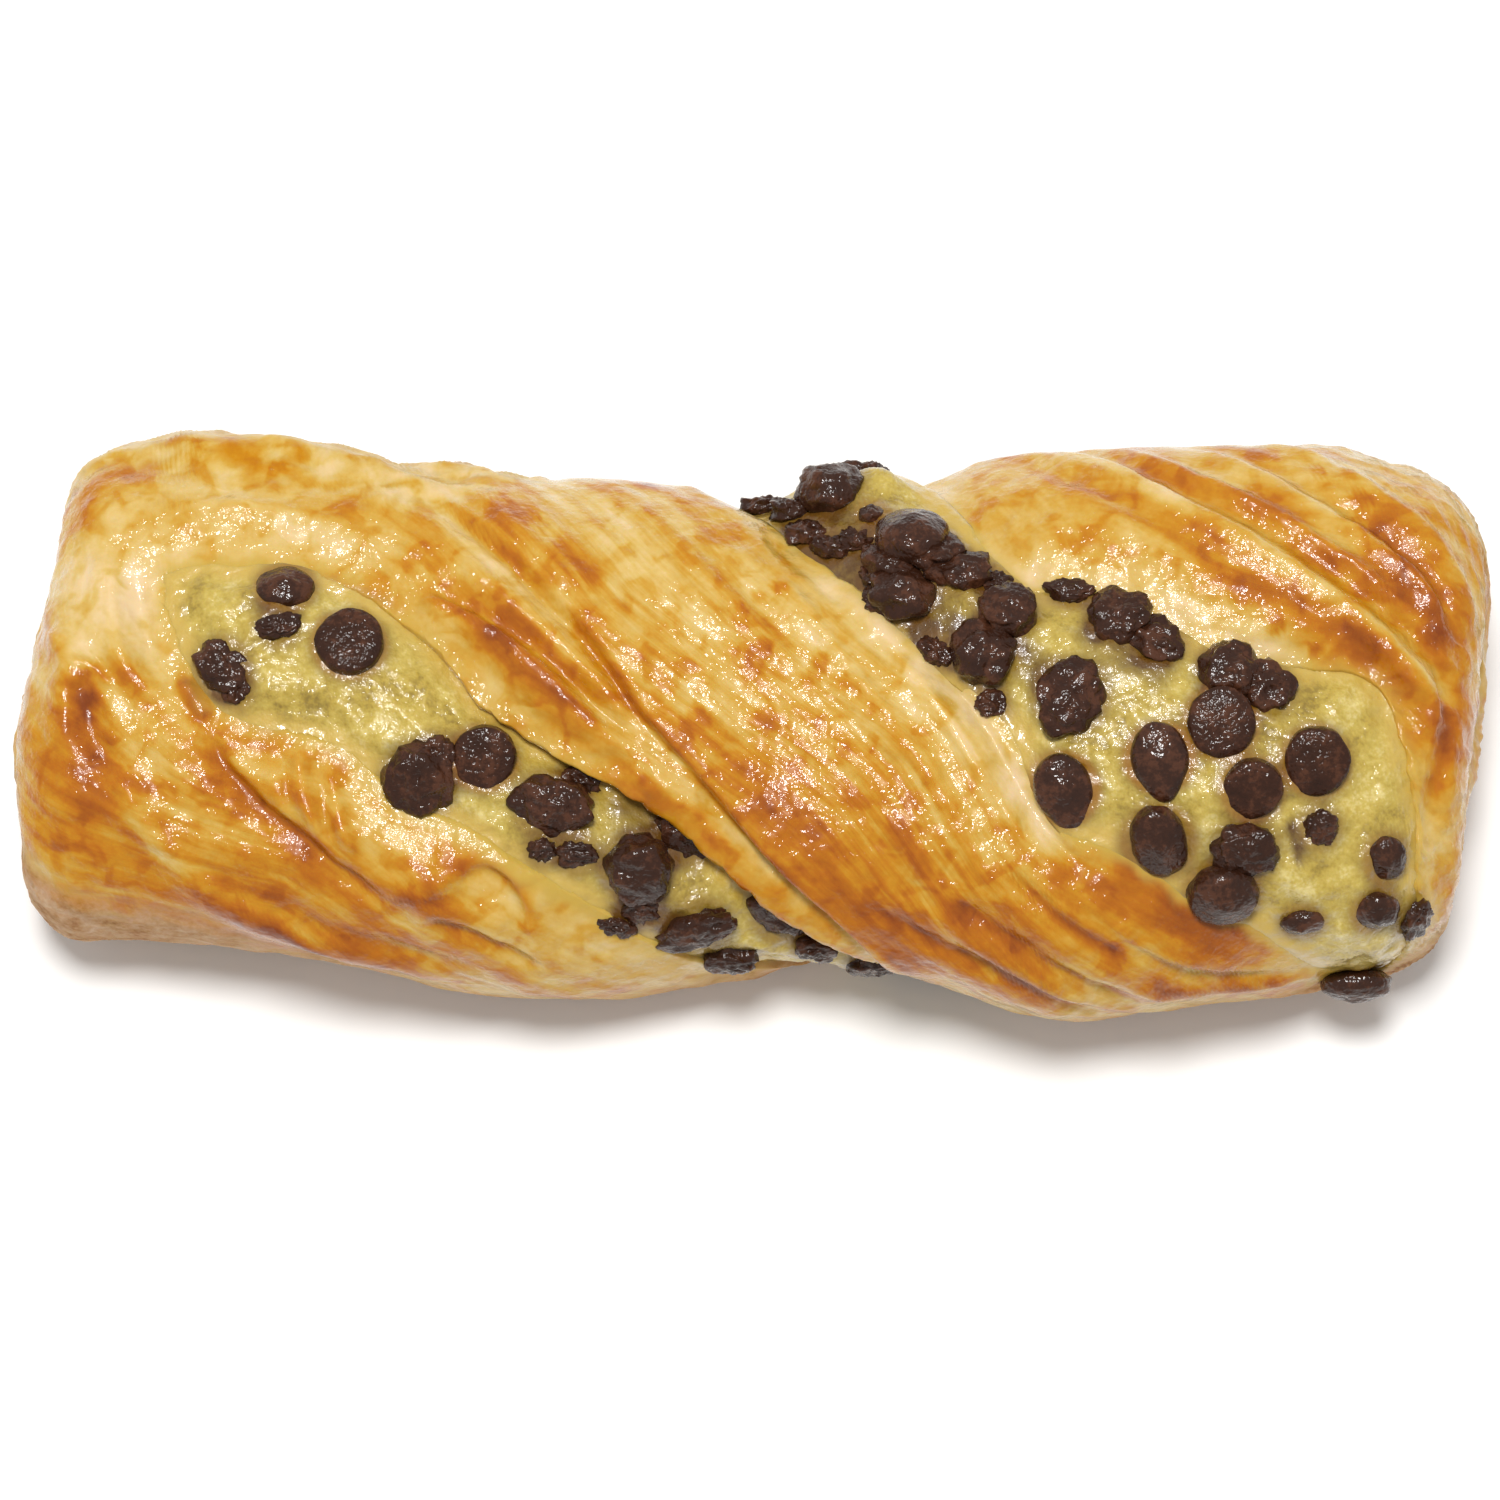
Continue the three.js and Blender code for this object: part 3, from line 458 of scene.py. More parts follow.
class Surface:
    """Points of the loaf's plain surface at a developed position along it and an angle round it.

    The developed position is x on the flank, and runs on round the corner and over the end's face
    as far as the face's middle.
    """

    def __init__(self, along, angle):
        along, angle = np.broadcast_arrays(np.asarray(along, float), np.asarray(angle, float))
        self.along, self.angle = along, angle
        x, radius = along.copy(), section_radius(along, angle)
        along_x, outward = np.zeros_like(x), np.ones_like(x)
        for end, side in ((LEFT_END, -1), (RIGHT_END, 1)):
            corner = end["corner"]
            reach = end_reach(end, angle)
            flank = reach - side * corner
            past = (along - flank) * side
            flank_radius = section_radius(flank, angle)
            turn = np.clip(past / corner, 0, np.pi / 2)
            on_face = np.clip((past - corner * np.pi / 2) / (flank_radius - corner), 0, 1)
            out = 1 - on_face
            face_x = mix(end["reach"], reach, out) + side * end["dome"] * (1 - out * out)
            corner_x = flank + side * corner * np.sin(turn)
            there, faced = past > 0, past > corner * np.pi / 2
            corner_radius = flank_radius - corner * (1 - np.cos(turn))
            x = np.where(faced, face_x, np.where(there, corner_x, x))
            radius = np.where(faced, out * (flank_radius - corner),
                              np.where(there, corner_radius, radius))
            along_x = np.where(there, side * np.sin(turn), along_x)
            outward = np.where(there, np.cos(turn), outward)
        middle_y, middle_z, _, _ = section(x)
        y = radius * np.cos(np.radians(angle))
        z = press_flat(middle_z + radius * np.sin(np.radians(angle))) - middle_z
        round_angle = np.arctan2(z, y)
        self.point = np.stack([x, middle_y + y, middle_z + z], -1)
        self.normal = np.stack(
            [along_x, outward * np.cos(round_angle), outward * np.sin(round_angle)], -1)

    def raised(self, level, lowest=0.0):
        """The surface moved out by level, but no lower than a height of lowest."""
        point = self.point + self.normal * level[..., None]
        point[..., 2] = np.maximum(point[..., 2], lowest)
        return point


def along_limit(end, side, angle):
    """The developed position of the middle of an end's face."""
    corner = end["corner"]
    flank = end_reach(end, angle) - side * corner
    return flank + side * (corner * np.pi / 2 + section_radius(flank, angle) - corner)


# ---------------------------------------------------------------- windows, lips and folds


def nearest_on_path(path, x, y):
    """Distance from points to a path of points, its sign by side, and how far along the path."""
    path = np.asarray(path, float)
    nearest = np.full(x.shape, 1e9)
    side, share = np.zeros(x.shape), np.zeros(x.shape)
    count = len(path) - 1
    for i in range(count):
        run = path[i + 1] - path[i]
        from_x, from_y = x - path[i, 0], y - path[i, 1]
        t = np.clip((from_x * run[0] + from_y * run[1]) / (run @ run), 0, 1)
        distance = np.hypot(from_x - t * run[0], from_y - t * run[1])
        closer = distance < nearest
        nearest = np.where(closer, distance, nearest)
        side = np.where(closer, np.sign(run[0] * from_y - run[1] * from_x), side)
        share = np.where(closer, (i + t) / count, share)
    return nearest, side, share


def wrapped(angle, middle):
    """The same angle, a whole number of turns away, that is nearest to middle."""
    return angle + 360 * np.round((middle - angle) / 360)


def window_distance(window, along, angle):
    """Distance from a window's edge, in mm along the surface: over 0 on the dough, under 0 inside."""
    low, high = window["low"], window["high"]
    first, last = low[0][0], low[-1][0]
    held = np.clip(along, first, last)
    low_here, high_here = through(low, held), through(high, held)
    turned = wrapped(angle, (low_here + high_here) / 2)
    steps = (first + last) / 2 - (last - first) / 2 * np.cos(np.linspace(0, np.pi, EDGE_STEPS))
    outline = np.concatenate([
        np.stack([steps, through(low, steps) * ARC], -1),
        np.stack([steps, through(high, steps) * ARC], -1)[::-1]])
    outline = np.concatenate([outline, outline[:1]])
    inside = (along > first) & (along < last) & (turned > low_here) & (turned < high_here)
    flat_x, flat_y = along.ravel(), (turned * ARC).ravel()
    parts = 1 + flat_x.size // PLACES_AT_ONCE
    nearest = np.concatenate([
        nearest_on_path(outline, *part)[0]
        for part in zip(np.array_split(flat_x, parts), np.array_split(flat_y, parts))])
    return np.where(inside, -1, 1) * nearest.reshape(along.shape)


def edge_wander(place):
    """How far a window's edge strays, in mm."""
    return EDGE_BAYS * noise(place, "edge bays") + EDGE_NICKS * noise(place, "edge nicks")


def edge_value(window, kind, along, angle):
    """A window's lip or step at a place, its two edges' values blended by nearness."""
    low, high = through(window["low"], along), through(window["high"], along)
    turned = wrapped(angle, (low + high) / 2)
    from_low, from_high = np.abs(turned - low) + 0.01, np.abs(high - turned) + 0.01
    return ((through(window["low_" + kind], along) * from_high
             + through(window["high_" + kind], along) * from_low) / (from_low + from_high))


STROKE_STEPS = 6                  # straight pieces between two points of a path
STROKE_FADE = 0.18                # share of a stroke's length over which each end fades out
BAKE_RAGGED = 2.5                 # half width of a stroke from which its edge is torn no more


def stroke(path, along, angle):
    """Signed distance and share along a smooth path of (x, angle) points."""
    path = np.asarray(path, float)
    order = np.linspace(0, len(path) - 1, STROKE_STEPS * (len(path) - 1) + 1)
    numbered = np.column_stack([np.arange(len(path)), path])
    smooth = np.stack([through(numbered, order, 1), through(numbered, order, 2) * ARC], -1)
    turned = wrapped(angle, path[:, 1].mean())
    distance, side, share = nearest_on_path(smooth, along, turned * ARC)
    return distance * side, share


def faded(share):
    """1 along the middle of a stroke and 0 at its two ends."""
    return ease(0, STROKE_FADE, share) * ease(1, 1 - STROKE_FADE, share)


def folds(along, angle):
    """Relief of the dough's folds, in mm."""
    total = np.zeros(along.shape)
    for height, low_width, high_width, path in FOLDS:
        distance, share = stroke(path, along, angle)
        total += height * bell(distance, np.where(distance < 0, low_width, high_width)) * faded(share)
    return total


def bake(along, angle, ragged):
    """Strokes of browning, one of them partly painted shade. ragged, in mm, tears their edges along the
    strand.
    """
    total = np.zeros(along.shape)
    for amount, width, path in BAKE_AND_SHADE:
        distance, share = stroke(path, along, angle)
        distance = distance + ragged * np.minimum(width, BAKE_RAGGED)
        total += BAKE_SHARE * amount * bell(distance, width) * faded(share)
    return total


def pools(along, angle, place):
    """Beads of glaze, from 0 to their amount, with torn edges."""
    ragged = 1 + 0.45 * noise(place, "bead edge")
    total = np.zeros(along.shape)
    for x, middle, length, width, turn, amount in POOLS:
        right, up = along - x, (wrapped(angle, middle) - middle) * ARC
        c, s = np.cos(np.radians(turn)), np.sin(np.radians(turn))
        radius = np.hypot((right * c + up * s) / length, (up * c - right * s) / width) * 2
        total = np.maximum(total, POOL_SHARE * amount * ease(1.25, 0.65, radius * ragged))
    return total


def dryness(along, angle, place):
    """From 0 to 1: how bare the crust is below the glaze, how flaky behind the left end, and how far its
    layers show as streaks."""
    turned = wrapped(angle, 90)
    ragged = (BARE_STRAY["bays"] * noise(place, "bare bays")
              + BARE_STRAY["nicks"] * noise(place, "bare nicks"))
    # Over an end's face the mm for each degree shrink towards its middle.
    middle_y, middle_z, half, _ = section(place[..., 0])
    spoke = np.clip(np.hypot(place[..., 1] - middle_y, place[..., 2] - middle_z) / half, 0.05, 1)
    below = np.maximum(turned - through(BARE_FRONT, along), through(BARE_BACK, along) - turned)
    below = below * ARC * spoke + BARE_STRAY["sweep"] * noise(place, "bare sweep")
    behind = (through(FLAKY_BACK, along) - turned) * ARC
    at_left = ease(*FLAKY_STOP, along)
    dry = ease(*BARE_BLEND, below + ragged)
    flaky = ease(*FLAKY_BLEND, behind + ragged) * at_left
    layered = 1 - 0.9 * ease(-1.6, 0.6, behind) * at_left
    return dry, flaky, layered


# ---------------------------------------------------------------- making a mesh


def loop_faces(rings, columns, first=0):
    """Faces of a tube of closed rings, looking outwards, with a fan at each end."""
    ring, column = np.meshgrid(np.arange(rings - 1), np.arange(columns), indexing="ij")
    here = first + ring * columns + column
    beside = first + ring * columns + (column + 1) % columns
    quads = np.stack([here, beside, beside + columns, here + columns], -1).reshape(-1, 4)
    start, end = first + rings * columns, first + rings * columns + 1
    rim = np.arange(columns)
    last = first + (rings - 1) * columns
    fans = [(start, first + (j + 1) % columns, first + j) for j in rim]
    fans += [(end, last + j, last + (j + 1) % columns) for j in rim]
    return quads.tolist() + fans


def make_piece(name, points, faces, material, values=None):
    """A smooth mesh object from points in mm, with its values stored for the material to read."""
    mesh = bpy.data.meshes.new(name)
    mesh.from_pydata((np.asarray(points) * MM).tolist(), [], faces)
    for value_name, value in (values or {}).items():
        kind = "FLOAT" if value.ndim == 1 else "FLOAT_VECTOR"
        field = "value" if value.ndim == 1 else "vector"
        attribute = mesh.attributes.new(value_name, kind, "POINT")
        attribute.data.foreach_set(field, value.astype(np.float32).ravel())
    mesh.shade_smooth()
    mesh.materials.append(material)
    piece = bpy.data.objects.new(name, mesh)
    bpy.context.scene.collection.objects.link(piece)
    return piece


# ---------------------------------------------------------------- materials


def linear(hex_colour):
    """The linear colour of an sRGB hex value."""
    channels = [int(hex_colour[i:i + 2], 16) / 255 for i in (1, 3, 5)]
    return (*(c / 12.92 if c <= 0.04045 else ((c + 0.055) / 1.055) ** 2.4 for c in channels), 1)


def add(tree, kind, links=None, stops=None, **settings):
    """Adds a node. links maps an input to a value or to another node's output.

    stops are a ramp's positions and colours: its two ends first, and then those between.
    """
    node = tree.nodes.new(kind)
    for name, value in settings.items():
        setattr(node, name, value)
    for socket, value in (links or {}).items():
        if isinstance(value, bpy.types.NodeSocket):
            tree.links.new(value, node.inputs[socket])
        else:
            node.inputs[socket].default_value = value
    for i, (position, colour) in enumerate(stops or ()):
        ramp = node.color_ramp.elements
        stop = ramp[i] if i < 2 else ramp.new(position)
        stop.position = position
        stop.color = linear(colour)
    return node


def new_material(name):
    material = bpy.data.materials.new(name)
    material.use_nodes = True
    material.node_tree.nodes.clear()
    return material, material.node_tree


def baked_dough():
    """Laminated wheat dough, brushed with egg and sugar and baked: golden, streaked along the strand.

    The eye sees thin layers as pale and amber streaks, brown where the glaze has caught, and a wet gloss
    that the streaks break into small glints. The crust below the glaze is dry, matt and tan.
    """
    material, tree = new_material("baked_glazed_dough")
    # browning_and_shade holds the crust's browning and one band of painted shade beside the custard
    browning_and_shade, glaze, dry, layered, soaked, flaky = (
        add(tree, "ShaderNodeAttribute", attribute_name=name).outputs["Fac"]
        for name in ("browning_and_shade", "glaze", "dry", "layered", "soaked", "flaky"))
    strand = add(tree, "ShaderNodeAttribute", attribute_name="strand").outputs["Vector"]
    place = add(tree, "ShaderNodeTexCoord").outputs["Object"]

    # Streaks 1.3 mm and 0.5 mm wide, a dozen times longer than wide: the strand is in mm across.
    streaks = add(tree, "ShaderNodeTexNoise", {"Vector": strand, "Scale": 1 / 1.3, "Detail": 1.0,
                                               "Roughness": 0.4}).outputs["Fac"]
    fine_streaks = add(tree, "ShaderNodeTexNoise", {"Vector": strand, "Scale": 1 / 0.5, "Detail": 2.0,
                                                    "Roughness": 0.6}).outputs["Fac"]
    # Blotches 3.4 mm across where the glaze has pooled, and grain of 0.6 mm. The glaze is rippled every
    # 2.2 mm, and a skin of 0.5 mm breaks its gloss into sparks. The flaky part has blotches for streaks.
    blotches = add(tree, "ShaderNodeTexNoise", {"Vector": place, "Scale": 1 / (3.4 * MM), "Detail": 2.0,
                                                "Roughness": 0.5, "Distortion": 0.6}).outputs["Fac"]
    grain = add(tree, "ShaderNodeTexNoise", {"Vector": place, "Scale": 1 / (0.6 * MM), "Detail": 2.0,
                                             "Roughness": 0.6}).outputs["Fac"]
    ripple = add(tree, "ShaderNodeTexNoise", {"Vector": place, "Scale": 1 / (2.2 * MM), "Detail": 1.0,
                                              "Roughness": 0.4}).outputs["Fac"]
    skin = add(tree, "ShaderNodeTexNoise", {"Vector": place, "Scale": 1 / (0.5 * MM), "Detail": 1.0,
                                            "Roughness": 0.5}).outputs["Fac"]
    # The level runs from pale at 0 to dark at 1. The last term puts the patterns' middle at 0.
    caught = add(tree, "ShaderNodeMapRange", {"Value": blotches, "From Min": 0.54, "From Max": 0.62,
                                              "To Min": 0.0, "To Max": 0.08}).outputs[0]
    level = add(tree, "ShaderNodeMath", {0: browning_and_shade, 1: caught}, operation="ADD").outputs[0]
    streaks, fine_streaks = (add(tree, "ShaderNodeMath", {0: pattern, 1: layered},
                                 operation="MULTIPLY").outputs[0] for pattern in (streaks, fine_streaks))
    flakes = add(tree, "ShaderNodeMath", {0: blotches, 1: flaky}, operation="MULTIPLY").outputs[0]
    middles = add(tree, "ShaderNodeMath", {0: layered, 1: -0.45, 2: -0.26},
                  operation="MULTIPLY_ADD").outputs[0]
    level = add(tree, "ShaderNodeMath", {0: level, 1: middles}, operation="ADD").outputs[0]
    for pattern, amount in ((streaks, 0.56), (fine_streaks, 0.34), (blotches, 0.38), (grain, 0.14),
                            (flakes, 0.4)):
        level = add(tree, "ShaderNodeMath", {0: pattern, 1: amount, 2: level},
                    operation="MULTIPLY_ADD").outputs[0]
    glazed = add(tree, "ShaderNodeValToRGB", {"Fac": level}, stops=[
        (0.0, "#dabe90"), (1.0, "#7e3a0a"), (0.20, "#ccac62"), (0.36, "#c29638"), (0.50, "#ba7e12"),
        (0.64, "#ae6606"), (0.80, "#9c5206")]).outputs["Color"]
    bare_tone = add(tree, "ShaderNodeMath", {0: grain, 1: 0.5, 2: blotches},
                    operation="MULTIPLY_ADD").outputs[0]
    bare = add(tree, "ShaderNodeValToRGB", {"Fac": bare_tone}, stops=[
        (0.46, "#74421c"), (1.0, "#c6a88a"), (0.56, "#9a6c44"), (0.72, "#b28a62")]).outputs["Color"]
    colour = add(tree, "ShaderNodeMix", {0: dry, 6: glazed, 7: bare}, data_type="RGBA").outputs[2]
    colour = add(tree, "ShaderNodeMix", {0: soaked, 6: colour, 7: linear("#bc9c44")},
                 data_type="RGBA").outputs[2]

    relief = add(tree, "ShaderNodeMath", {0: ripple, 1: 3.0, 2: streaks},
                 operation="MULTIPLY_ADD").outputs[0]
    film = add(tree, "ShaderNodeBump", {"Height": relief, "Strength": 1.0,
                                        "Distance": 0.15 * MM}).outputs["Normal"]
    wet = add(tree, "ShaderNodeBump", {"Height": skin, "Strength": 1.0, "Distance": 0.16 * MM,
                                       "Normal": film}).outputs["Normal"]
    bump = add(tree, "ShaderNodeBump", {"Height": fine_streaks, "Strength": 0.6, "Distance": 0.1 * MM,
                                        "Normal": film}).outputs["Normal"]
    roughness = add(tree, "ShaderNodeMapRange", {"Value": dry, "To Min": 0.32,
                                                 "To Max": 0.8}).outputs[0]
    sheen = add(tree, "ShaderNodeMapRange", {"Value": glaze, "To Min": 0.1, "To Max": 0.14}).outputs[0]
    shader = add(tree, "ShaderNodeBsdfPrincipled", {
        "Base Color": colour, "Roughness": roughness, "Specular IOR Level": sheen,
        "Normal": bump, "Coat Normal": wet, "Coat Weight": glaze, "Coat Roughness": 0.09,
        "Coat IOR": 1.34, "Subsurface Weight": 0.2, "Subsurface Radius": (1.0, 0.45, 0.12),
        "Subsurface Scale": 2 * MM}).outputs[0]
    add(tree, "ShaderNodeOutputMaterial", {"Surface": shader})
    return material


def baked_custard():
    """Vanilla custard, baked: a moist, bubbled, olive-yellow skin, stained round the chocolate."""
    material, tree = new_material("baked_custard")
    stain, rim, ring = (add(tree, "ShaderNodeAttribute", attribute_name=name).outputs["Fac"]
                        for name in ("stain", "rim", "ring"))
    place = add(tree, "ShaderNodeTexCoord").outputs["Object"]
    # Clouds 3.5 mm across, bubbles of 1.3 mm, pimples of 1.6 mm and a grain of 0.45 mm, which sparkles.
    clouds = add(tree, "ShaderNodeTexNoise", {"Vector": place, "Scale": 1 / (3.5 * MM), "Detail": 4.0,
                                              "Roughness": 0.6}).outputs["Fac"]
    bubbles = add(tree, "ShaderNodeTexVoronoi", {"Vector": place, "Scale": 1 / (1.3 * MM)},
                  feature="SMOOTH_F1").outputs["Distance"]
    grain = add(tree, "ShaderNodeTexNoise", {"Vector": place, "Scale": 1 / (0.45 * MM), "Detail": 1.5,
                                             "Roughness": 0.6}).outputs["Fac"]
    tone = add(tree, "ShaderNodeMix", {0: 0.28, 2: clouds, 3: grain}).outputs[0]
    colour = add(tree, "ShaderNodeValToRGB", {"Fac": tone}, stops=[
        (0.34, "#8e762c"), (0.68, "#d8c684"), (0.45, "#b0963c"), (0.55, "#bea64e")]).outputs["Color"]
    patchy = add(tree, "ShaderNodeMath", {0: stain, 1: clouds}, operation="MULTIPLY").outputs[0]
    for amount, tint in ((rim, "#c2a24c"), (patchy, "#5a3d14"), (ring, "#96600e")):
        colour = add(tree, "ShaderNodeMix", {0: amount, 6: colour, 7: linear(tint)},
                     data_type="RGBA").outputs[2]
    pimples = add(tree, "ShaderNodeTexNoise", {"Vector": place, "Scale": 1 / (1.6 * MM),
                                               "Detail": 0.6}).outputs["Fac"]
    relief = add(tree, "ShaderNodeMath", {0: bubbles, 1: 0.5, 2: pimples},
                 operation="MULTIPLY_ADD").outputs[0]
    skin = add(tree, "ShaderNodeBump", {"Height": relief, "Strength": 1.0,
                                        "Distance": 0.35 * MM}).outputs["Normal"]
    rough = add(tree, "ShaderNodeMapRange", {"Value": rim, "To Min": 1.0, "To Max": 0.3}).outputs[0]
    wet = add(tree, "ShaderNodeBump", {"Height": grain, "Strength": rough, "Distance": 0.18 * MM,
                                       "Normal": skin}).outputs["Normal"]
    bump = add(tree, "ShaderNodeBump", {"Height": grain, "Strength": 1.0, "Distance": 0.06 * MM,
                                        "Normal": skin}).outputs["Normal"]
    shader = add(tree, "ShaderNodeBsdfPrincipled", {
        "Base Color": colour, "Roughness": 0.36, "Normal": bump, "Specular IOR Level": 0.4,
        "Coat Weight": 0.9, "Coat Roughness": 0.06, "Coat IOR": 1.4, "Coat Normal": wet,
        "Subsurface Weight": 0.25, "Subsurface Radius": (1.0, 0.7, 0.2),
        "Subsurface Scale": 2 * MM}).outputs[0]
    add(tree, "ShaderNodeOutputMaterial", {"Surface": shader})
    return material


def baked_chocolate():
    """Dark baking chocolate, melted and set again in the oven: near black, crumbled, and it glistens."""
    material, tree = new_material("baked_dark_chocolate")
    gloss = add(tree, "ShaderNodeAttribute", attribute_name="gloss").outputs["Fac"]
    place = add(tree, "ShaderNodeTexCoord").outputs["Object"]
    # Crumbs of 0.5 mm, and lumps of 2.4 mm that lean to red-brown.
    crumb = add(tree, "ShaderNodeTexNoise", {"Vector": place, "Scale": 1 / (0.5 * MM), "Detail": 3.0,
                                             "Roughness": 0.65}).outputs["Fac"]
    lumps = add(tree, "ShaderNodeTexNoise", {"Vector": place, "Scale": 1 / (2.4 * MM),
                                             "Detail": 2.0}).outputs["Fac"]
    tone = add(tree, "ShaderNodeMath", {0: crumb, 1: 0.7, 2: lumps},
               operation="MULTIPLY_ADD").outputs[0]
    colour = add(tree, "ShaderNodeValToRGB", {"Fac": tone}, stops=[
        (0.60, "#2c170d"), (1.0, "#4c2c1c"), (0.86, "#361d11")]).outputs["Color"]
    beads = add(tree, "ShaderNodeTexNoise", {"Vector": place, "Scale": 1 / (0.5 * MM),
                                             "Detail": 1.5}).outputs["Fac"]
    bump = add(tree, "ShaderNodeBump", {"Height": beads, "Strength": 1.0,
                                        "Distance": 0.16 * MM}).outputs["Normal"]
    roughness = add(tree, "ShaderNodeMapRange", {"Value": gloss, "To Min": 0.5,
                                                 "To Max": 0.35}).outputs[0]
    beaded = add(tree, "ShaderNodeMapRange", {"Value": gloss, "To Min": 0.26 * MM,
                                              "To Max": 0.17 * MM}).outputs[0]
    wet = add(tree, "ShaderNodeBump", {"Height": beads, "Strength": 1.0,
                                       "Distance": beaded}).outputs["Normal"]
    coat = add(tree, "ShaderNodeMapRange", {"Value": gloss, "To Min": 0.6,
                                            "To Max": 1.0}).outputs[0]
    shader = add(tree, "ShaderNodeBsdfPrincipled", {
        "Base Color": colour, "Roughness": roughness, "Normal": bump, "Coat Normal": wet,
        "Specular IOR Level": 0.06, "Coat Weight": coat, "Coat Roughness": 0.06,
        "Coat IOR": 1.38}).outputs[0]
    add(tree, "ShaderNodeOutputMaterial", {"Surface": shader})
    return material


def matte_paper():
    """Plain white paper: the surface that the twist lies on."""
    material, tree = new_material("matte_white_paper")
    shader = add(tree, "ShaderNodeBsdfPrincipled", {"Base Color": linear("#f4f3f1"), "Roughness": 0.9})
    add(tree, "ShaderNodeOutputMaterial", {"Surface": shader.outputs[0]})
    return material


# ---------------------------------------------------------------- the dough

DOUGH_COLUMNS = 300
FACE_RINGS = 20
CORNER_RINGS = 18
FLANK_RINGS = 250
FACE_SHARE = 0.6                  # of an end's rings' shares, the rest being its corner's
SEAM_ANGLE = 255                  # where the columns start, at x = 0, and how they turn with x
SEAM_TURN = 2.35
EDGE_FOCUS = 1.2                  # extra columns near a window's edge, and fewer inside a window
EDGE_REACH = 2.5
WINDOW_SHARE = 0.35
BELOW_SHARE = 0.5                 # and fewer underneath
RING_BLEND = 6                    # rings that share one spacing

STRAND_WIDTH = 24                 # of the strand between its two windows' edges
STREAK_STRETCH = 12               # how many times longer than wide the streaks are
FREE_FROM = 3.0                   # mm out from an edge where the relief is at its full height
# How high each pattern stands in mm, and how far it browns the glazed crust, and the flaky one.
RELIEF = {"strand ridges": 0.4, "lumps": 0.4, "puckers": 0.2, "strand dabs": 0.12}
TONES = {"lumps": 0.08, "clouds": 0.08, "puckers": 0.05}
FLAKY_TONES = {"puckers": 0.12, "lumps": 0.08}
LAYER_RELIEF = (0.09, 0.2)        # of the thin layers, and as much more at a standing lip
LAYER_REACH = 3.5                 # width of the strip beside the lip where it is more
BEAD_RELIEF = 0.3                 # for each 1 of a bead's amount
FLAKE_RELIEF = 0.5
WRINKLE_RELIEF = 0.28             # of the fine wrinkles in the blisters
BLISTERS = ((50, 64), (-60, -66))  # x where the blisters start, and are full, at either end
RIDGE_TONE, FOLD_TONE = 0.10, 0.04
SOFT_EDGE_TONE = -0.12            # beside an edge with no lip
FLAKY_TONE = -0.14                # browning of the flaky part where no stroke crosses it
LOWER_TONE = 0.16                 # and how much more it browns lower down the back
LOWER_BACK = (18, -10)            # between these angles


def ring_shares():
    """Each ring's place along the loaf: 0 to 1 over an end, 1 to 2 along the flank, 2 to 3 at the other."""
    face = np.linspace(0, FACE_SHARE, FACE_RINGS, endpoint=False)[1:]
    corner = np.linspace(FACE_SHARE, 1, CORNER_RINGS, endpoint=False)
    over = np.concatenate([face, corner])
    return np.concatenate([over, np.linspace(1, 2, FLANK_RINGS), 3 - over[::-1]])


def ring_position(shares, angle):
    """Developed position of a ring at an angle."""
    positions = []
    for end, side in ((LEFT_END, -1), (RIGHT_END, 1)):
        flank = end_reach(end, angle) - side * end["corner"]
        arc_end = flank + side * end["corner"] * np.pi / 2
        positions.append((flank, arc_end, along_limit(end, side, angle)))
    (left, left_arc, left_pole), (right, right_arc, right_pole) = positions

    def over_end(share, flank, arc, pole):
        on_corner = (share - FACE_SHARE) / (1 - FACE_SHARE)
        return np.where(share < FACE_SHARE, mix(pole, arc, share / FACE_SHARE), mix(arc, flank, on_corner))

    left_over = over_end(shares, left, left_arc, left_pole)
    right_over = over_end(3 - shares, right, right_arc, right_pole)
    flank = mix(left, right, np.clip(shares - 1, 0, 1))
    return np.where(shares < 1, left_over, np.where(shares > 2, right_over, flank))


def column_angles(shares):
    """The angle of each column on each ring, closer together where a window's edge is near."""
    samples = np.linspace(0, 360, 361)
    middle = ring_position(shares, np.full(shares.shape, 90.0))
    start = SEAM_ANGLE + SEAM_TURN * middle
    angle = start[:, None] + samples[None, :]
    along = np.broadcast_to(middle[:, None], angle.shape)
    distance = np.minimum(*(window_distance(w, along, angle) for w in WINDOWS))
    density = 1 + EDGE_FOCUS * bell(distance, EDGE_REACH)
    density *= mix(1, WINDOW_SHARE, ease(-1.5, -4, distance))
    density *= mix(1, BELOW_SHARE, ease(-0.3, -0.9, np.sin(np.radians(angle))))
    padded = np.pad(density, ((RING_BLEND, RING_BLEND), (0, 0)), mode="edge")
    density = sum(padded[i:i + len(shares)] for i in range(2 * RING_BLEND + 1))
    total = np.concatenate([np.zeros((len(shares), 1)),
                            np.cumsum((density[:, 1:] + density[:, :-1]) / 2, axis=1)], axis=1)
    wanted = np.arange(DOUGH_COLUMNS) / DOUGH_COLUMNS
    rows = [np.interp(wanted * row[-1], row, samples) for row in total]
    return start[:, None] + np.array(rows)


def surface_gradient(point, value):
    """Direction and slope of value along a grid's surface, in 3D, for a grid closed round its columns."""
    along = np.gradient(point, axis=0)
    around = (np.roll(point, -1, axis=1) - np.roll(point, 1, axis=1)) / 2
    value_along = np.gradient(value, axis=0)
    value_around = (np.roll(value, -1, axis=1) - np.roll(value, 1, axis=1)) / 2
    aa, bb = np.sum(along * along, -1), np.sum(around * around, -1)
    ab = np.sum(along * around, -1)
    scale = np.maximum(aa * bb - ab * ab, 1e-9)
    first = (bb * value_along - ab * value_around) / scale
    second = (aa * value_around - ab * value_along) / scale
    return along * first[..., None] + around * second[..., None]


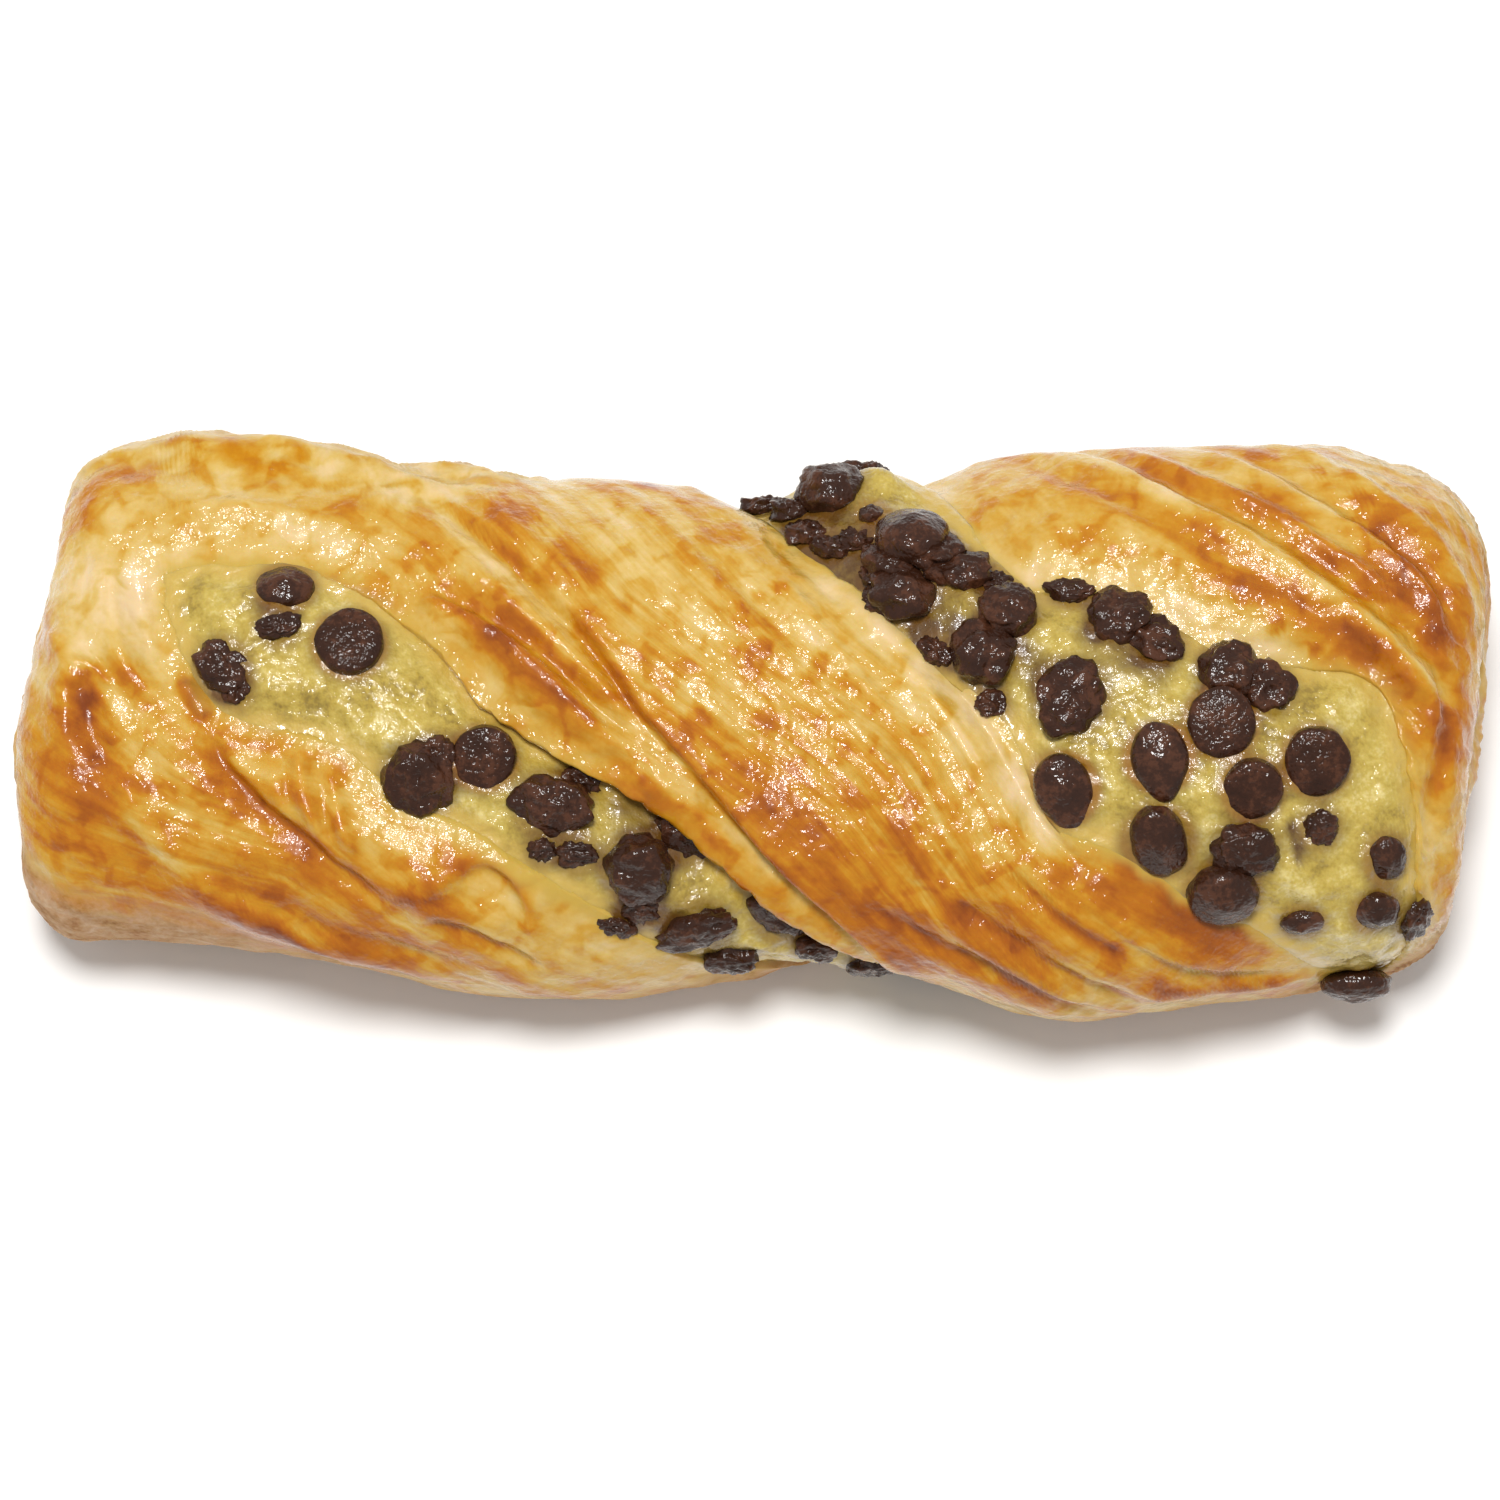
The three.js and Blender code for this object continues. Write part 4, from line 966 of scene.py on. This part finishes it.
def lay_out_dough():
    """The dough's grid of places, with how each lies to the windows and along the strand."""
    at = SimpleNamespace()
    at.shares = ring_shares()
    at.angle = column_angles(at.shares)
    at.along = ring_position(at.shares[:, None], at.angle)
    at.surface = Surface(at.along, at.angle)
    at.place = at.surface.point
    left, right = (window_distance(w, at.along, at.angle) for w in WINDOWS)
    lips = [edge_value(w, "lip", at.along, at.angle) for w in WINDOWS]
    at.lip = np.clip(np.where(left < right, *lips), 0, 1)
    at.push = mix(*LIP_PUSH, at.lip)
    wander = edge_wander(at.place) - LIP_SET_BACK * at.push
    left, right = left + wander, right + wander
    at.away = np.minimum(left, right)
    at.outside = np.maximum(at.away, 0)
    at.free = ease(0, FREE_FROM, at.outside)

    # Across the strand, from one window's edge to the other's, and twice along it.
    both = np.maximum(left, 0) + np.maximum(right, 0) + 0.01
    across = STRAND_WIDTH * ease(-0.1, 1.1, np.maximum(left, 0) / both)
    at.strand = np.stack([across, at.place[..., 0], at.place[..., 1] + at.place[..., 2]], -1)
    return at


def pattern_crust(at):
    """Adds what the crust's relief and its tones share: patterns, folds, beads, and where it is bare."""
    at.patterns = {name: noise(at.strand, name)
                   for name in ("strand ridges", "strand layers", "strand dabs")}
    at.patterns.update({name: noise(at.place, name) for name in ("lumps", "puckers", "clouds")})
    at.folded = folds(at.along, at.angle)
    at.beads = pools(at.along, at.angle, at.place)
    at.dry, at.flaky, layered = dryness(at.along, at.angle, at.place)
    at.layered = layered * ease(0.25, 0.75, np.minimum(at.shares, 3 - at.shares))[:, None]


def weighed(weights, patterns):
    return sum(weight * patterns[name] for name, weight in weights.items())


def crust_relief(at):
    """How far the crust stands out from the loaf's plain surface, in mm."""
    flakes = (ease(-0.2, 0.4, noise(at.place, "broad flakes"))
              + 0.5 * ease(-0.4, 0.5, noise(at.place, "fine flakes")))
    right, left = BLISTERS
    blistered = ease(*right, at.along) + 0.5 * ease(*left, at.along)
    wrinkles = np.clip(1 - 2.6 * np.abs(noise(at.place, "wrinkles")), 0, 1)
    layers = at.patterns["strand layers"] * at.layered
    level = LOBE_RISE * (1 - bell(at.outside, LOBE_WIDTH))
    level -= LIP_DROP * bell(at.outside, mix(*LIP_ROLL, at.lip))
    level += at.folded + at.free * weighed(RELIEF, at.patterns)
    plain, more = LAYER_RELIEF
    level += layers * (plain + more * at.lip * bell(at.outside, LAYER_REACH))
    level += BEAD_RELIEF * at.beads + FLAKE_RELIEF * at.flaky * (flakes - 0.5)
    level += WRINKLE_RELIEF * blistered * wrinkles
    return level - TRENCH * ease(0, -TRENCH_WIDTH, at.away - mix(*TRENCH_START, at.lip))


def crust_values(at):
    """What the dough's material reads at each place."""
    torn = 0.7 * at.patterns["strand layers"] + 0.5 * at.patterns["strand dabs"]
    # The strokes hold browning and one band of painted shade along the left window's edge.
    strokes = bake(at.along, at.angle, torn)
    browning_and_shade = (BAKE_BASE + strokes + at.beads + FOLD_TONE * at.folded + weighed(TONES, at.patterns)
                + RIDGE_TONE * at.patterns["strand ridges"] * at.free)
    browning_and_shade += SOFT_EDGE_TONE * (1 - at.lip) * bell(at.outside, 2.5)
    lower = LOWER_TONE * ease(*LOWER_BACK, wrapped(at.angle, 90))
    flaky_browning = FLAKY_TONE + lower + strokes + weighed(FLAKY_TONES, at.patterns)
    browning_and_shade = mix(browning_and_shade, flaky_browning, 0.85 * at.flaky)
    up = ease(-0.4, 0.3, at.surface.normal[..., 2])
    soaked_edge = at.away + 0.5 * noise(at.place, "soaked edge")
    return dict(browning_and_shade=browning_and_shade, glaze=(1 - at.dry) * (1 - 0.75 * at.flaky) * up, dry=at.dry,
                layered=at.layered, soaked=(1 - at.lip) * ease(1.5, 0.1, soaked_edge), flaky=at.flaky)


def make_dough(material):
    at = lay_out_dough()
    pattern_crust(at)
    point = at.surface.raised(crust_relief(at))
    downhill = surface_gradient(at.place, at.away)
    lean = at.push * bell(at.away - 0.2, LIP_WIDTH)
    point -= downhill * lean[..., None]
    point[..., 2] = np.maximum(point[..., 2], 0)

    poles = [Surface(along_limit(end, side, 90.0), 90.0).point[None]
             for end, side in ((LEFT_END, -1), (RIGHT_END, 1))]
    values = {name: np.concatenate([grid.ravel(), [grid[0].mean(), grid[-1].mean()]])
              for name, grid in crust_values(at).items()}
    strand = at.strand / (1.0, STREAK_STRETCH, STREAK_STRETCH)
    values["strand"] = np.concatenate([strand.reshape(-1, 3), strand[[0, -1], 0]])
    return make_piece("twist_dough", np.concatenate([point.reshape(-1, 3), *poles]),
                      loop_faces(*at.angle.shape), material, values)


# ---------------------------------------------------------------- the custard

CUSTARD_ROWS = 300
CUSTARD_COLUMNS = 84
CUSTARD_TUCK = 1.6                # how far the custard runs in under the dough's lip
CUSTARD_DIP = 0.45                # and how far it dips there
CUSTARD_CORE = 8.0                # radius of the wedge's inner edge
CUSTARD_RELIEF = {"custard swells": 0.40, "custard bubbles": 0.42, "custard pimples": 0.16}
RIM_WIDTH = (3.2, 0.2)            # from the edge, where its own colour starts and is full
SKIRT = dict(rise=0.1, width=0.8)  # custard drawn up round a chip
STAIN = dict(amount=1.1, reach=1.7, most=1.9)  # brown round a chip, and the most that stains add up to
RING = dict(amount=0.75, reach=0.9)  # amber round a glossy chip


def custard_level(window, along, angle):
    """Level of the custard's skin, out from the loaf's plain surface."""
    step = edge_value(window, "step", along, angle)
    inside = np.maximum(-window_distance(window, along, angle), 0)
    near_back = wrapped(angle, SWELLING["angle"]) - SWELLING["angle"]
    swelling = (SWELLING["rise"] * bell(along - SWELLING["x"], SWELLING["length"])
                * bell(near_back, SWELLING["turn"]))
    return -LIP_DROP - step + CUSTARD_RISE * (1 - bell(inside, CUSTARD_ROLL)) + swelling


def window_at(along, angle):
    """The window that a place lies in, or is nearest to."""
    distances = [float(window_distance(w, np.array([along]), np.array([angle]))[0]) for w in WINDOWS]
    return WINDOWS[int(np.argmin(distances))]


def all_chips():
    """The chips in sight, then those out of sight by a seeded rule."""
    random = np.random.default_rng(CHIP_SEED)
    chips = list(CHIPS)
    for window, first, last, count in HIDDEN_CHIPS:
        for i in range(count):
            x = mix(first, last, (i + random.random() / 2) / count)
            across = CHIP_ROWS[i % 2] + CHIP_STRAY * random.uniform(-1, 1)
            angle = mix(through(window["low"], x), through(window["high"], x), across)
            length = mix(*CHIP_LENGTHS, random.random())
            width = length * mix(*CHIP_WIDTHS, random.random())
            form = random.choice(["dome", "rough", "disc"])
            turn = random.uniform(-CHIP_TURN, CHIP_TURN)
            chips.append((x, float(angle), length, width, turn, 0.0, str(form)))
    return chips


def custard_stains(along, angle, place, skin, chip_seats):
    """The custard drawn up round the chips, in mm, and its brown stains and amber rings."""
    skirts, stain, ring = np.zeros(along.shape), np.zeros(along.shape), np.zeros(along.shape)
    for seat, reach, tinge in chip_seats:
        distance = np.linalg.norm(skin(skirts) - seat, axis=-1)
        skirts += SKIRT["rise"] * bell(distance - reach, SKIRT["width"])
        stain += STAIN["amount"] * ease(reach + STAIN["reach"], reach - 0.2, distance)
        ring = np.maximum(ring, RING["amount"] * tinge * ease(reach + RING["reach"], reach, distance))
    for amount, width, path in SMEARS:
        distance, share = stroke(path, along, angle)
        ragged_width = width * (1 + 0.5 * noise(place, "smear edge"))
        stain += amount * bell(distance, ragged_width) * faded(share)
    return skirts, np.minimum(stain, STAIN["most"]), ring


def custard_wedge(window, chip_seats):
    """The loops of points that fill one window, and what the custard's material reads on them."""
    first, last = window["low"][0][0], window["low"][-1][0]
    rows = np.linspace(first - CUSTARD_TUCK, last + CUSTARD_TUCK, CUSTARD_ROWS)
    low = through(window["low"], rows) - CUSTARD_TUCK / ARC
    high = through(window["high"], rows) + CUSTARD_TUCK / ARC
    angle = mix(low[:, None], high[:, None], np.linspace(0, 1, CUSTARD_COLUMNS)[None, :])
    along = np.broadcast_to(rows[:, None], angle.shape)
    surface = Surface(along, angle)
    place = surface.point
    inside = -window_distance(window, along, angle) - edge_wander(place)
    level = custard_level(window, along, angle) - CUSTARD_DIP * ease(0.2, -1.5, inside)
    for x, middle, width, height in CUSTARD_LUMPS:
        level += height * bell(np.hypot(along - x, (wrapped(angle, middle) - middle) * ARC), width)
    patterns = {name: noise(place, name) for name in CUSTARD_RELIEF}
    level += ease(-0.5, 2.5, inside) * weighed(CUSTARD_RELIEF, patterns)
    skirts, stain, ring = custard_stains(
        along, angle, place, lambda more: place + surface.normal * (level + more)[..., None], chip_seats)
    level += skirts

    middle_y, middle_z, _, _ = section(rows)
    inner_angle = np.radians(mix(low, high, 0.5))
    inner = np.stack([rows, middle_y + CUSTARD_CORE * np.cos(inner_angle),
                      middle_z + CUSTARD_CORE * np.sin(inner_angle)], -1)
    loop = np.concatenate([surface.raised(level, CUSTARD_CLEAR), inner[:, None]], axis=1)
    rim = ease(*RIM_WIDTH, inside + 0.7 * noise(place, "rim edge"))
    return loop, dict(stain=stain, rim=rim, ring=ring)


def make_custard(material, chip_seats):
    """Two wedges, one for each window, that meet inside the loaf."""
    points, faces = [], []
    stored = {"stain": [], "rim": [], "ring": []}
    for window in WINDOWS:
        loop, values = custard_wedge(window, chip_seats)
        faces += loop_faces(*loop.shape[:2], sum(len(p) for p in points))
        points.append(np.concatenate([loop.reshape(-1, 3), loop[[0, -1]].mean(axis=1)]))
        for name, grid in values.items():
            padded = np.concatenate([grid, np.zeros((CUSTARD_ROWS, 1))], axis=1)
            stored[name].append(np.concatenate([padded.ravel(), [0, 0]]))
    return make_piece("custard_skin", np.concatenate(points), faces, material,
                      {name: np.concatenate(grids) for name, grids in stored.items()})


# ---------------------------------------------------------------- the chocolate chips

CHIP_RINGS = 26
CHIP_SIDES = 42
CHIP_BALL = 3.0                   # radius of the ball that a chip's patterns are read from
CHIP_APART = 7.7                  # how far each chip's ball lies from the last one's
TIP_WIDTH = 32                    # of a drop's tip, in degrees round it
NUB_WIDTH = 0.3                   # of a chip's middle nub, as a share of its half width
# How each form stands up, how square its shoulder is, its lumps, its crumbs and middle nub in mm, how far
# its outline runs out to a tip, its gloss, and how far it tinges the custard round it.
CHIP_FORMS = {
    "dome": dict(height=0.6, square=0.8, lumps=0.08, crumbs=0.07, nub=0.3, tip=0, gloss=0.8, tinge=0.5),
    "disc": dict(height=0.4, square=0.32, lumps=0.05, crumbs=0.08, nub=0, tip=0, gloss=0.15, tinge=0.7),
    "rough": dict(height=0.55, square=0.6, lumps=0.24, crumbs=0.30, nub=0, tip=0, gloss=0.5, tinge=0.2),
    "lump": dict(height=0.75, square=0.75, lumps=0.24, crumbs=0.22, nub=0, tip=0, gloss=0.6, tinge=0.2),
    "drop": dict(height=0.5, square=0.75, lumps=0.04, crumbs=0.03, nub=0.3, tip=0.26, gloss=1, tinge=1),
}


def chip_frame(x, angle, turn):
    """Where a chip sits, and its three directions: lengthways, round the loaf, and outwards."""
    window = window_at(x, angle)
    at = Surface(np.array([float(x)]), np.array([float(angle)]))
    level = custard_level(window, at.along, at.angle)
    seat = at.raised(level, CUSTARD_CLEAR)[0]
    outward = at.normal[0]
    lengthways = np.array([1.0, 0, 0]) - outward[0] * outward
    lengthways /= np.linalg.norm(lengthways)
    round_loaf = np.cross(outward, lengthways)
    c, s = np.cos(np.radians(turn)), np.sin(np.radians(turn))
    return seat, lengthways * c + round_loaf * s, round_loaf * c - lengthways * s, outward


def chip_shape(ball, form, length, width, number):
    """A chip's own shape, lengthways, across and up, from a unit ball's points."""
    right, back, up = ball.T
    spin = np.arctan2(back, right)
    flat = np.hypot(right, back)
    pointed = 1 + form["tip"] * bell(wrapped(np.degrees(spin), -90) + 90, TIP_WIDTH) * flat
    height = form["height"] * min(length, width) / 2
    raised = np.sign(up) * np.abs(up) ** form["square"] * height
    local = np.stack([right * length / 2 * pointed, back * width / 2 * pointed, raised], -1)
    own = ball * CHIP_BALL + number * CHIP_APART
    local *= (1 + form["lumps"] * noise(own, "chip lumps"))[:, None]
    crumbs = form["crumbs"] * (noise(own, "chip crumbs") + 0.6 * noise(own, "chip grit"))
    local += ball * crumbs[:, None]
    local[:, 2] += form["nub"] * bell(flat, NUB_WIDTH) * (up > 0)
    return local


def make_chips(material):
    """One mesh of flattened, crumbled balls, and the list of their seats for the custard to meet."""
    polar = np.linspace(0, np.pi, CHIP_RINGS + 2)[1:-1]
    spin = np.linspace(0, 2 * np.pi, CHIP_SIDES, endpoint=False)
    ball = np.stack([np.outer(np.sin(polar), np.cos(spin)), -np.outer(np.sin(polar), np.sin(spin)),
                     np.repeat(np.cos(polar)[:, None], CHIP_SIDES, 1)], -1)
    ball = np.concatenate([ball.reshape(-1, 3), [[0, 0, 1], [0, 0, -1]]])
    points, faces, gloss, seats = [], [], [], []
    for number, (x, angle, length, width, turn, rise, kind) in enumerate(all_chips()):
        form = CHIP_FORMS[kind]
        seat, *axes = chip_frame(x, angle, turn)
        seat = seat + axes[2] * (rise + CHIP_RISE)
        place = seat + chip_shape(ball, form, length, width, number) @ np.array(axes)
        place[:, 2] = np.maximum(place[:, 2], CUSTARD_CLEAR)
        faces += loop_faces(CHIP_RINGS, CHIP_SIDES, sum(len(p) for p in points))
        points.append(place)
        gloss.append(np.full(len(place), form["gloss"]))
        seats.append((seat, (length + width) / 4, form["tinge"]))
    piece = make_piece("chocolate_chips", np.concatenate(points), faces, material,
                       {"gloss": np.concatenate(gloss)})
    return piece, seats


# ---------------------------------------------------------------- floor, lights and camera

VIEW_ELEVATION = 76.0             # of the camera above the horizon
VIEW_DISTANCE = 600.0
VIEW_WIDTH = 150.0                # width that the photograph takes in at the loaf
VIEW_AIM = (0.0, 0.0, 14.0)
VIEW_DROP = 2.5                   # how far the loaf lies above the picture's middle
SENSOR = 36.0                     # of the camera, in mm
FLOOR_HALF = 1500
FLOOR_DROP = 0.05                 # below the loaf's flat underside, so that the two never share a plane
WORLD_STRENGTH = 0.5              # of the white room's light


def make_floor(material):
    signs = [(-1, -1), (1, -1), (1, 1), (-1, 1)]
    corners = [(x * FLOOR_HALF, y * FLOOR_HALF, -FLOOR_DROP) for x, y in signs]
    floor = make_piece("floor", corners, [(0, 1, 2, 3)], material)


def add_light(name, place, size, power, colour):
    """A round softbox of a size in mm and a power in watts, aimed at the loaf."""
    light = bpy.data.lights.new(name, "AREA")
    light.shape = "DISK"
    light.size = size * MM
    light.energy = power
    light.color = linear(colour)[:3]
    lamp = bpy.data.objects.new(name, light)
    lamp.location = Vector(place) * MM
    lamp.rotation_euler = (-lamp.location).to_track_quat("-Z", "Y").to_euler()
    bpy.context.scene.collection.objects.link(lamp)


def make_lights():
    add_light("key_softbox", (-60, 110, 1200), 330, 13.2, "#ffffff")
    world = bpy.data.worlds.new("studio")
    world.use_nodes = True
    background = world.node_tree.nodes["Background"]
    background.inputs["Color"].default_value = linear("#ffffff")
    background.inputs["Strength"].default_value = WORLD_STRENGTH
    bpy.context.scene.world = world


def make_camera():
    lean = np.radians(VIEW_ELEVATION)
    back = Vector((0, -np.cos(lean), np.sin(lean)))
    up = Vector((0, np.sin(lean), np.cos(lean)))
    data = bpy.data.cameras.new("photo_camera")
    data.sensor_width = SENSOR
    data.lens = SENSOR * VIEW_DISTANCE / VIEW_WIDTH
    data.clip_start, data.clip_end = 0.05, 10
    camera = bpy.data.objects.new("photo_camera", data)
    camera.location = (Vector(VIEW_AIM) + back * VIEW_DISTANCE - up * VIEW_DROP) * MM
    camera.rotation_mode = "QUATERNION"
    camera.rotation_quaternion = (-back).to_track_quat("-Z", "Y")
    bpy.context.scene.collection.objects.link(camera)
    bpy.context.scene.camera = camera


# ---------------------------------------------------------------- putting it together

chips, chip_seats = make_chips(baked_chocolate())
custard = make_custard(baked_custard(), chip_seats)
dough = make_dough(baked_dough())

for piece, node, slot in ((dough, "pastry_dough", "dough"),
                          (custard, "custard_filling", "custard"),
                          (chips, "custard_filling", "chocolate")):
    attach(piece, "root")
    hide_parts(node)

make_floor(matte_paper())
make_lights()
make_camera()
bpy.context.scene.view_settings.view_transform = "Standard"
